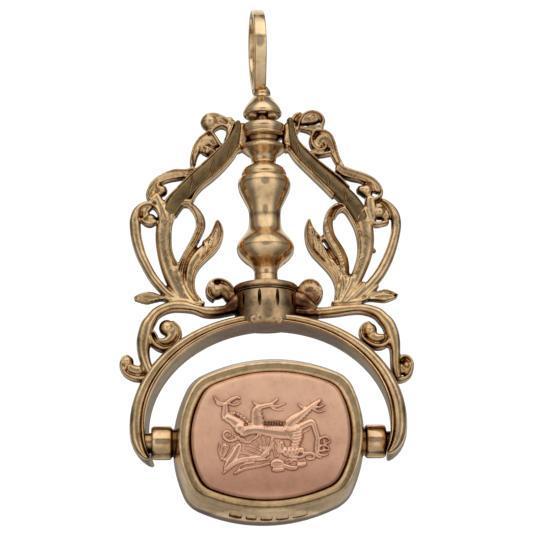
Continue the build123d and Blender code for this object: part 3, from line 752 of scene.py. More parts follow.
# Leaf-shaped cuts in the flat face of each band. Rows as for the stems.
LEFT_CUTS = [
    [(0.236, 0.903, 0.08), (0.249, 0.866, 0.22), (0.267, 0.830, 0.22), (0.284, 0.796, 0.08)],
    [(0.378, 0.813, 0.08), (0.388, 0.783, 0.24), (0.404, 0.752, 0.24), (0.421, 0.724, 0.08)],
    [(0.548, 0.726, 0.08), (0.545, 0.695, 0.24), (0.552, 0.664, 0.24), (0.566, 0.638, 0.08)],
]
RIGHT_CUTS = [
    [(0.257, 0.893, 0.08), (0.262, 0.868, 0.22), (0.269, 0.842, 0.22), (0.274, 0.815, 0.08)],
    [(0.349, 0.797, 0.08), (0.355, 0.775, 0.24), (0.362, 0.751, 0.24), (0.366, 0.728, 0.08)],
    [(0.480, 0.729, 0.08), (0.486, 0.706, 0.26), (0.489, 0.682, 0.26), (0.490, 0.660, 0.08)],
    [(0.604, 0.660, 0.08), (0.614, 0.636, 0.26), (0.619, 0.610, 0.26), (0.620, 0.583, 0.08)],
    [(0.762, 0.561, 0.08), (0.725, 0.533, 0.30), (0.704, 0.500, 0.30), (0.693, 0.462, 0.08)],
    [(0.766, 0.382, 0.08), (0.759, 0.360, 0.40), (0.747, 0.340, 0.36), (0.733, 0.316, 0.08)],
]

# Outlines across a stem, counter-clockwise. Columns: across and through, shares of half the size.
ROOF = [
    (1.0, 0.10), (0.62, 0.86), (0.38, 1.0), (0.16, 0.86), (-0.9, 0.38), (-1.0, 0.0),
    (-0.9, -0.38), (0.16, -0.86), (0.38, -1.0), (0.62, -0.86), (1.0, -0.10),
]
OUTLINES = {
    "round": oval(12),
    "soft": oval(20, 2.8),
    "band": oval(20, 5.0),
    "roof": ROOF,
}
stem_steps = 3
narrowest_stem = 0.12
# Rounded tip beyond each end of a stem, as shares of the stem's width, width again, and thickness
tip_reach = 0.3
tip_width = 0.55
tip_thickness = 0.7
# The one stem that is a piece of its own, and the cuts in its faces
satin_stem = "band"
leaf_cut_thickness = 0.34
leaf_cut_y = 0.9


def on_casting(side, across, up):
    """A point in the casting's own plane, x and z, from its two shares."""
    rise = casting_height if up >= 0 else bow_rise
    return side * across * casting_half_width, casting_foot_z + up * rise


def casting_run(side, thickness, rows):
    """Stations along a stem or a cut of a casting, smoothed between its rows."""
    return [
        (*on_casting(side, across, up), width, thickness)
        for across, up, width in through_points(rows, stem_steps)
    ]


def rounded_run(rows):
    """Stations along a stem, with a rounded tip at each end. Rows: x, z, width, thickness."""
    stations = [(x, z, max(width, narrowest_stem), thickness) for x, z, width, thickness in rows]
    for end, inner in ((0, 1), (-1, -2)):
        x, z, width, thickness = stations[end]
        inner_x, inner_z = stations[inner][:2]
        reach = tip_reach * width / math.hypot(x - inner_x, z - inner_z)
        tip_x = x + (x - inner_x) * reach
        tip_z = z + (z - inner_z) * reach
        tip = (tip_x, tip_z, tip_width * width, tip_thickness * thickness)
        stations.insert(0 if end == 0 else len(stations), tip)
    return stations


def cast_stem(name, side, style, thickness, rows):
    """One stem of a casting."""
    return grow(name, OUTLINES[style], rounded_run(casting_run(side, thickness, rows)))


def casting(name, side, stems, balls):
    """A pierced scroll casting: its balls and all its stems but the satin one, fused to one skin."""
    pieces = []
    for stem, row in stems.items():
        if stem != satin_stem:
            pieces.append(cast_stem(f"{name}_{stem}", side, *row))
    for across, up, radius, half_thickness in balls:
        x, z = on_casting(side, across, up)
        pieces.append(flat_ball(x, 0, z, radius, half_thickness))
    whole = join(name, pieces)
    fuse(whole, voxel=0.093, rounds=4)
    settle(whole)
    return whole


def satin_band(name, side, stems, cuts):
    """The casting's broad flat band, with leaf-shaped cuts in both its faces."""
    whole = cast_stem(name, side, *stems[satin_stem])
    fuse(whole, voxel=0.08, rounds=2)
    cutters = []
    for face in (-1, 1):
        for rows in cuts:
            cutter = grow("leaf_cut", OUTLINES["round"], casting_run(side, leaf_cut_thickness, rows))
            shift(cutter, (0, face * leaf_cut_y, 0))
            cutters.append(cutter)
    carve(whole, cutters, "MANIFOLD")
    settle(whole)
    return whole


scroll_left = casting("scroll_left", -1, LEFT_STEMS, LEFT_BALLS)
scroll_right = casting("scroll_right", 1, RIGHT_STEMS, RIGHT_BALLS)
band_left = satin_band("band_left", -1, LEFT_STEMS, LEFT_CUTS)
band_right = satin_band("band_right", 1, RIGHT_STEMS, RIGHT_CUTS)

# Bail: the outline across its strip, the steps of its two bends, and the gap in mm where its ends meet
STRIP = oval(16, 8.0)
bail_top_steps = 12
bail_foot_steps = 8
bail_seam = 0.02
# It hangs a little turned and leaning, in degrees, and to one side, in mm
bail_turn = 2.0
bail_lean = 1.3
bail_offset = 0.26


def bail_loop():
    """A flat strip bent to a pear-shaped loop, drawn in the front plane and then turned edge-on."""
    top = bail_inner_width / 2
    foot = bail_foot_width / 2
    top_z = -top
    foot_z = foot - bail_inner_height
    lean = math.asin((top - foot) / (top_z - foot_z))
    middle = bail_strip / 2
    half = []
    for step in range(bail_top_steps + 1):
        angle = (math.pi / 2 + lean) * step / bail_top_steps
        half.append(((top + middle) * math.sin(angle), top_z + (top + middle) * math.cos(angle)))
    for step in range(1, bail_foot_steps + 1):
        angle = math.pi / 2 + lean + (math.pi / 2 - lean) * step / bail_foot_steps
        half.append(((foot + middle) * math.sin(angle), foot_z + (foot + middle) * math.cos(angle)))
    loop = half + [(-x, z) for x, z in reversed(half[1:-1])] + [(-bail_seam, half[0][1])]
    strip = grow("bail_strip", STRIP, [(x, z, bail_strip, bail_width) for x, z in loop])
    edit_all(strip)
    turn(math.radians(90 + bail_turn), (0, 0, 0), "Z")
    turn(math.radians(-bail_lean), (0, 0, bail_foot_z), "Y")
    bpy.ops.transform.translate(value=(-bail_offset, 0, 0))
    leave_edit()
    return strip


# Bell cap and its stem. Columns: radius, share of cap_radius; down from bail_foot_z, share of cap_height.
CAP = [
    (0.30, -0.30), (0.42, -0.16), (0.455, -0.06), (0.45, 0.02), (0.435, 0.10), (0.455, 0.16), (0.53, 0.20),
    (0.60, 0.26), (0.68, 0.35), (0.77, 0.45), (0.86, 0.55), (0.93, 0.65), (0.975, 0.74), (1.0, 0.83),
    (1.0, 0.90), (0.975, 0.955), (0.93, 0.99), (0.87, 1.0), (0.82, 0.985), (0.78, 0.95), (0.74, 0.90),
    (0.66, 0.84), (0.52, 0.80), (0.40, 0.80), (0.345, 0.86), (0.316, 0.95), (0.316, 1.45),
]
strip = bail_loop()
cap = turned("bail_cap", profile(CAP, cap_radius, bail_foot_z, cap_height), sides=72)
settle(strip, crease=40)
settle(cap, crease=40)

# Post: rings and bulbs. Columns: radius, share of bulb_radius; down, share of post_length.
POST = [
    (0.62, 0.000), (0.74, 0.003), (0.775, 0.010), (0.78, 0.030), (0.765, 0.046),
    (0.70, 0.052), (0.735, 0.058), (0.745, 0.066), (0.72, 0.074), (0.60, 0.082), (0.545, 0.092),
    (0.54, 0.108), (0.60, 0.118), (0.70, 0.126), (0.745, 0.134), (0.765, 0.142),
    (0.79, 0.151), (0.785, 0.158), (0.74, 0.163), (0.64, 0.178), (0.50, 0.194),
    (0.44, 0.212), (0.425, 0.236), (0.46, 0.253), (0.58, 0.262), (0.69, 0.272),
    (0.75, 0.285), (0.785, 0.303), (0.79, 0.318), (0.76, 0.328),
    (0.84, 0.333), (0.895, 0.343), (0.915, 0.356), (0.925, 0.370), (0.915, 0.392), (0.885, 0.415),
    (0.83, 0.436), (0.765, 0.458), (0.68, 0.487), (0.60, 0.515), (0.562, 0.540), (0.55, 0.565),
    (0.552, 0.595), (0.57, 0.622), (0.605, 0.648), (0.67, 0.670), (0.76, 0.690), (0.85, 0.708),
    (0.93, 0.727), (0.975, 0.743), (0.998, 0.760), (1.0, 0.775), (0.985, 0.790),
    (0.94, 0.807), (0.86, 0.826), (0.745, 0.846), (0.62, 0.862), (0.51, 0.878), (0.44, 0.893),
    (0.40, 0.910), (0.40, 0.935), (0.42, 0.960), (0.46, 1.005),
]
post = turned("post", profile(POST, bulb_radius, collar_top_z, post_length), sides=72)
shift(post, (post_offset, 0, 0))
settle(post)

# Barrel. Columns: radius, share of barrel_radius; down from its top, share of barrel_height.
BARREL = [
    (0.80, -0.03), (0.93, -0.02), (0.99, 0.0), (1.015, 0.04), (1.015, 0.11), (0.985, 0.135), (0.96, 0.145),
    (0.975, 0.155), (0.985, 0.165), (0.985, 0.185), (0.955, 0.195), (0.94, 0.205), (0.965, 0.215),
    (0.975, 0.24), (0.98, 0.6), (0.98, 0.97), (0.95, 1.02),
]
# Gouged grooves round the barrel. Columns: bearing in degrees from the front; half-width and height in mm.
GOUGES = [
    (-48, 0.15, 1.3), (-15, 0.19, 1.75), (18, 0.19, 1.75), (52, 0.15, 1.3), (90, 0.17, 1.6),
    (128, 0.17, 1.6), (165, 0.19, 1.7), (200, 0.19, 1.7), (235, 0.17, 1.6), (272, 0.17, 1.6),
]
gouge_depth = 0.4
gouge_drop = 1.75


def gouge(bearing, half_width, height):
    """An upright oval of metal to take out of the barrel's side."""
    middle = (0, -barrel_radius, barrel_top_z - gouge_drop)
    cutter = flat_ball(*middle, radius=1.0, half_thickness=1.0)
    edit_all(cutter)
    stretch((half_width, gouge_depth, height / 2), middle)
    turn(math.radians(bearing), (0, 0, 0), "Z")
    leave_edit()
    return cutter


barrel = turned("barrel", profile(BARREL, barrel_radius, barrel_top_z, barrel_height), sides=96)
carve(barrel, [gouge(*row) for row in GOUGES])

# Solder run at the foot of the barrel, over the bow's crown. Columns: across, through, up, radius, in mm.
SOLDER = [
    (-1.35, -2.60, -32.56, 0.55), (-0.75, -2.72, -32.42, 0.60), (-0.1, -2.76, -32.36, 0.62),
    (0.55, -2.72, -32.44, 0.60), (1.1, -2.62, -32.60, 0.50),
]
solder_flatness = 0.6
solder = join("solder", [flat_ball(x, y, z, radius, solder_flatness * radius) for x, y, z, radius in SOLDER])
fuse(solder, voxel=0.08, rounds=8)
settle(solder)
settle(barrel, crease=35)

# Half of the bow's section, as shares of half its size. Columns: across, outwards; through, to the back.
BOW_HALF = [
    (1.0, 0.0), (0.985, -0.3), (0.94, -0.52), (0.83, -0.72), (0.66, -0.84), (0.42, -0.90), (0.12, -0.92),
    (-0.16, -0.905), (-0.40, -0.885), (-0.50, -0.865), (-0.56, -0.85), (-0.62, -0.885), (-0.68, -0.94),
    (-0.74, -0.985), (-0.84, -0.995), (-0.94, -0.965), (-1.0, -0.90), (-1.0, -0.4),
]
BOW_OUTLINE = [(-a, b) for a, b in reversed(BOW_HALF)] + [(-a, -b) for a, b in BOW_HALF[1:]]
# Tip of an arm. Columns: share of bow_arm_drop; width, share of bow_wall_arm; shift inwards, in mm.
ARM_TIP = [
    (0.0, 1.0, 0.0), (0.2, 1.0, 0.0), (0.4, 0.97, 0.0), (0.58, 0.89, 0.02), (0.72, 0.78, 0.04),
    (0.84, 0.65, 0.07), (0.94, 0.50, 0.10), (1.01, 0.36, 0.12), (1.05, 0.22, 0.13),
]
bow_steps = 30
bow_turn = -6.0


def bow_stations():
    """Places along the right half of the bow, from the crown to the tip of the arm."""
    shoulder_z = crown_z - bow_rise
    stations = []
    for step in range(bow_steps):
        angle = math.radians(90 * step / bow_steps)
        inner = (bow_inner_half_width * math.sin(angle), shoulder_z + bow_rise * math.cos(angle))
        outer = (
            (bow_inner_half_width + bow_wall_arm) * math.sin(angle),
            shoulder_z + (bow_rise + bow_wall_crown) * math.cos(angle),
        )
        stations.append(((inner[0] + outer[0]) / 2, (inner[1] + outer[1]) / 2, math.dist(inner, outer)))
    for drop, wall, inwards in ARM_TIP:
        angle = math.asin(drop * bow_arm_drop / bow_arm_radius)
        width = wall * bow_wall_arm
        middle = bow_arm_radius + width / 2
        x = bow_inner_half_width - bow_arm_radius + middle * math.cos(angle) - inwards
        stations.append((x, shoulder_z - middle * math.sin(angle), width))
    return stations


right_half = bow_stations()
left_half = [(-x, z, width) for x, z, width in reversed(right_half[1:])]
bow = grow("bow", BOW_OUTLINE, [(x, z, width, 2 * bow_half_depth) for x, z, width in left_half + right_half])
edit_all(bow)
turn(math.radians(bow_turn), (0, 0, 0), "Z")
leave_edit()
settle(bow, crease=40)

# The seal's cushion. Middle of each corner's round: a share of the half size, less a share of its radius.
corner_across = 0.845
corner_across_less = 0.8
corner_up = 0.715
corner_up_less = 0.64
cushion_side_steps = 18
cushion_corner_steps = 6
# The cushion is a little skewed: across by this share of the height, and up by this share of the width
skew_across = 0.03
skew_up = 0.016


def arc_points(start, end, bulge, count):
    """Points from one corner to the next along a bowed side, each with its direction outwards."""
    chord = math.dist(start, end)
    radius = (chord**2 / 4 + bulge**2) / (2 * bulge)
    half_turn = math.asin(chord / (2 * radius))
    along = ((end[0] - start[0]) / chord, (end[1] - start[1]) / chord)
    outward = (along[1], -along[0])
    middle = ((start[0] + end[0]) / 2, (start[1] + end[1]) / 2)
    centre = [middle[i] + outward[i] * (bulge - radius) for i in (0, 1)]
    points = []
    for step in range(count + 1):
        angle = half_turn * (2 * step / count - 1)
        heading = [outward[i] * math.cos(angle) + along[i] * math.sin(angle) for i in (0, 1)]
        points.append(([centre[i] + heading[i] * radius for i in (0, 1)], heading))
    return points


def seal_outline(half_width, half_height, corner):
    """A cushion's outline: four bowed sides with tight round corners, counter-clockwise."""
    corner_x = corner_across * half_width - corner_across_less * corner
    corner_z = corner_up * half_height - corner_up_less * corner
    bulges = (half_width - corner - corner_x, half_height - corner - corner_z)
    corners = [(corner_x, -corner_z), (corner_x, corner_z), (-corner_x, corner_z), (-corner_x, -corner_z)]
    sides = [
        arc_points(corners[index], corners[(index + 1) % 4], bulges[index % 2], cushion_side_steps)
        for index in range(4)
    ]
    outline = []
    for index, side in enumerate(sides):
        outline += [(x + across * corner, z + up * corner) for (x, z), (across, up) in side]
        centre_x, centre_z = corners[(index + 1) % 4]
        leaving = side[-1][1]
        entering = sides[(index + 1) % 4][0][1]
        begin = math.atan2(leaving[1], leaving[0])
        swing = (math.atan2(entering[1], entering[0]) - begin) % (2 * math.pi)
        for step in range(1, cushion_corner_steps):
            angle = begin + swing * step / cushion_corner_steps
            outline.append((centre_x + corner * math.cos(angle), centre_z + corner * math.sin(angle)))
    return [(x + skew_across * z, z + skew_up * x) for x, z in outline]


def cushion(name, rows):
    """A cushion-shaped solid from rings, front to back: depth, half-width, half-height, corner."""
    rings = []
    for y, half_width, half_height, corner in rows:
        outline = seal_outline(half_width, half_height, corner)
        clear_selection()
        bpy.ops.mesh.primitive_circle_add(vertices=len(outline), radius=1, fill_type="NOTHING")
        ring = bpy.context.object
        for vertex, (across, up) in zip(ring.data.vertices, outline):
            vertex.co = (across, y, pivot_z + up)
        rings.append(ring)
    count = len(rings[0].data.vertices)
    whole = join(name, rings)
    for index in range(len(rows) - 1):
        edit_all(whole)
        bpy.ops.mesh.select_all(action="DESELECT")
        leave_edit()
        for vertex in whole.data.vertices:
            vertex.select = index * count <= vertex.index < (index + 2) * count
        bpy.ops.object.mode_set(mode="EDIT")
        bpy.ops.mesh.bridge_edge_loops()
        leave_edit()
    edit_all(whole)
    bpy.ops.mesh.select_all(action="DESELECT")
    bpy.ops.mesh.select_non_manifold()
    bpy.ops.mesh.edge_face_add()
    bpy.ops.mesh.select_all(action="SELECT")
    bpy.ops.mesh.normals_make_consistent(inside=False)
    leave_edit()
    return whole


# Bezel on each side of the seal. Columns: depth from the middle; inset from the rim's edge, in mm.
BEZEL = [
    (3.00, 1.19), (3.52, 1.17), (3.61, 1.09), (3.70, 1.00), (3.78, 0.88), (3.83, 0.74), (3.855, 0.58),
    (3.875, 0.42), (3.895, 0.28), (3.885, 0.14), (3.82, 0.04), (3.70, 0.0),
]
bezel_corner_share = 0.45
# Band between the bezels. Columns: depth; growth in half-width and half-height beyond the rim; corner.
BAND = [
    (3.55, 0.01, 0.02, 2.70), (3.3, 0.05, 0.12, 2.74), (2.9, 0.12, 0.27, 2.80), (2.3, 0.22, 0.48, 2.87),
    (1.6, 0.34, 0.69, 2.94), (0.9, 0.44, 0.81, 3.0), (0.0, 0.50, 0.85, 3.0),
]


def case_rings():
    """Rings of the seal's case, from the front bezel over the band to the back bezel."""
    front = []
    for y, inset in BEZEL:
        corner = rim_corner_radius - bezel_corner_share * inset
        front.append((-y, rim_half_width - inset, rim_half_height - inset, corner))
    for y, wider, higher, corner in BAND:
        front.append((-y, rim_half_width + wider, rim_half_height + higher, corner))
    back = [(-y, *sizes) for y, *sizes in reversed(front[:-1])]
    return front + back


# Bare cartouches struck into the underside. Columns: middle and half-width, in mm.
CARTOUCHES = [(-3.45, 0.62), (-1.95, 0.52), (-0.5, 0.58), (1.05, 0.62), (2.75, 0.75)]
CARTOUCHE_OUTLINE = oval(24, 4.5)
cartouche_half_height = 0.62
cartouche_depth = 0.11
cartouche_y = -2.2
punch_height = 1.0
underside_z = -7.76
underside_radius = 15.0
underside_slope = 17.0


def cartouche(middle, half_width):
    """A round-cornered punch that sinks a shallow bare field in the seal's underside."""
    punch = start_face("punch", CARTOUCHE_OUTLINE)
    stretch((half_width, cartouche_half_height, 1), (0, 0, 0))
    pull((0, 0, punch_height))
    bpy.ops.mesh.select_all(action="SELECT")
    bpy.ops.transform.translate(value=(0, 0, cartouche_depth - punch_height))
    turn(math.radians(-underside_slope), (0, 0, 0), "X")
    turn(-middle / underside_radius - skew_up, (0, 0, 0), "Y")
    rise = middle**2 / (2 * underside_radius) + skew_up * middle
    bpy.ops.transform.translate(value=(middle, cartouche_y, pivot_z + underside_z + rise))
    bpy.ops.mesh.normals_make_consistent(inside=False)
    leave_edit()
    return punch


seal_band = cushion("seal_band", case_rings())
carve(seal_band, [cartouche(*row) for row in CARTOUCHES])
settle(seal_band, crease=35)

# Sleeve on each end of the seal. Columns: distance from the middle; radius, share of sleeve_radius.
SLEEVE = [
    (8.60, 0.84), (9.36, 0.84), (9.42, 0.86), (9.47, 0.91), (9.53, 0.965), (9.62, 0.99), (9.80, 1.0),
    (10.4, 1.005), (11.0, 1.0), (11.22, 0.985), (11.33, 0.955), (11.41, 0.91), (11.45, 0.85), (11.46, 0.79),
    (11.46, 0.68), (11.44, 0.645), (11.3, 0.636), (10.2, 0.636),
]
SLEEVE_ROWS = [(share * sleeve_radius, out) for out, share in SLEEVE]
# Pin in each arm, rounded where it ends inside the arm. Columns: radius, distance from the middle.
PIN_ROWS = [(0.85, 10.32), (1.0, 10.45), (1.0, 12.0), (0.95, 12.25), (0.80, 12.42), (0.60, 12.5)]


def lay_outwards(name, rows, side):
    """A turned piece, laid along X at the pivot's height, towards one side."""
    piece = turned(name, rows, sides=64)
    edit_all(piece)
    turn(math.radians(90 * side), (0, 0, 0), "Y")
    bpy.ops.transform.translate(value=(0, 0, pivot_z))
    bpy.ops.mesh.normals_make_consistent(inside=False)
    leave_edit()
    settle(piece, crease=35)
    return piece


sleeve_left = lay_outwards("sleeve_left", SLEEVE_ROWS, -1)
sleeve_right = lay_outwards("sleeve_right", SLEEVE_ROWS, 1)
pin_left = lay_outwards("pin_left", PIN_ROWS, -1)
pin_right = lay_outwards("pin_right", PIN_ROWS, 1)

# Plaque, slightly domed. Columns: back from the face, inset from its edge, and corner, in mm.
PLAQUE = [
    (0.00, 5.0, 0.60), (0.01, 4.0, 0.95), (0.03, 3.0, 1.26), (0.055, 2.0, 1.5), (0.085, 1.2, 1.75),
    (0.11, 0.7, 1.95), (0.13, 0.36, 2.1), (0.145, 0.30, 2.13), (0.19, 0.22, 2.18), (0.30, 0.08, 2.24),
    (0.38, 0.01, 2.28), (0.46, 0.0, 2.3), (1.20, 0.0, 2.3),
]


def plaque(name, front):
    """A domed plaque with a bevelled edge, for the front (1) or the back (-1)."""
    rows = [
        (front * (plaque_face_y + back), plaque_half_width - inset, plaque_half_height - inset, corner)
        for back, inset, corner in PLAQUE
    ]
    piece = cushion(name, rows)
    settle(piece, crease=30)
    return piece


plaque_face = plaque("plaque_face", 1)
plaque_rear = plaque("plaque_rear", -1)
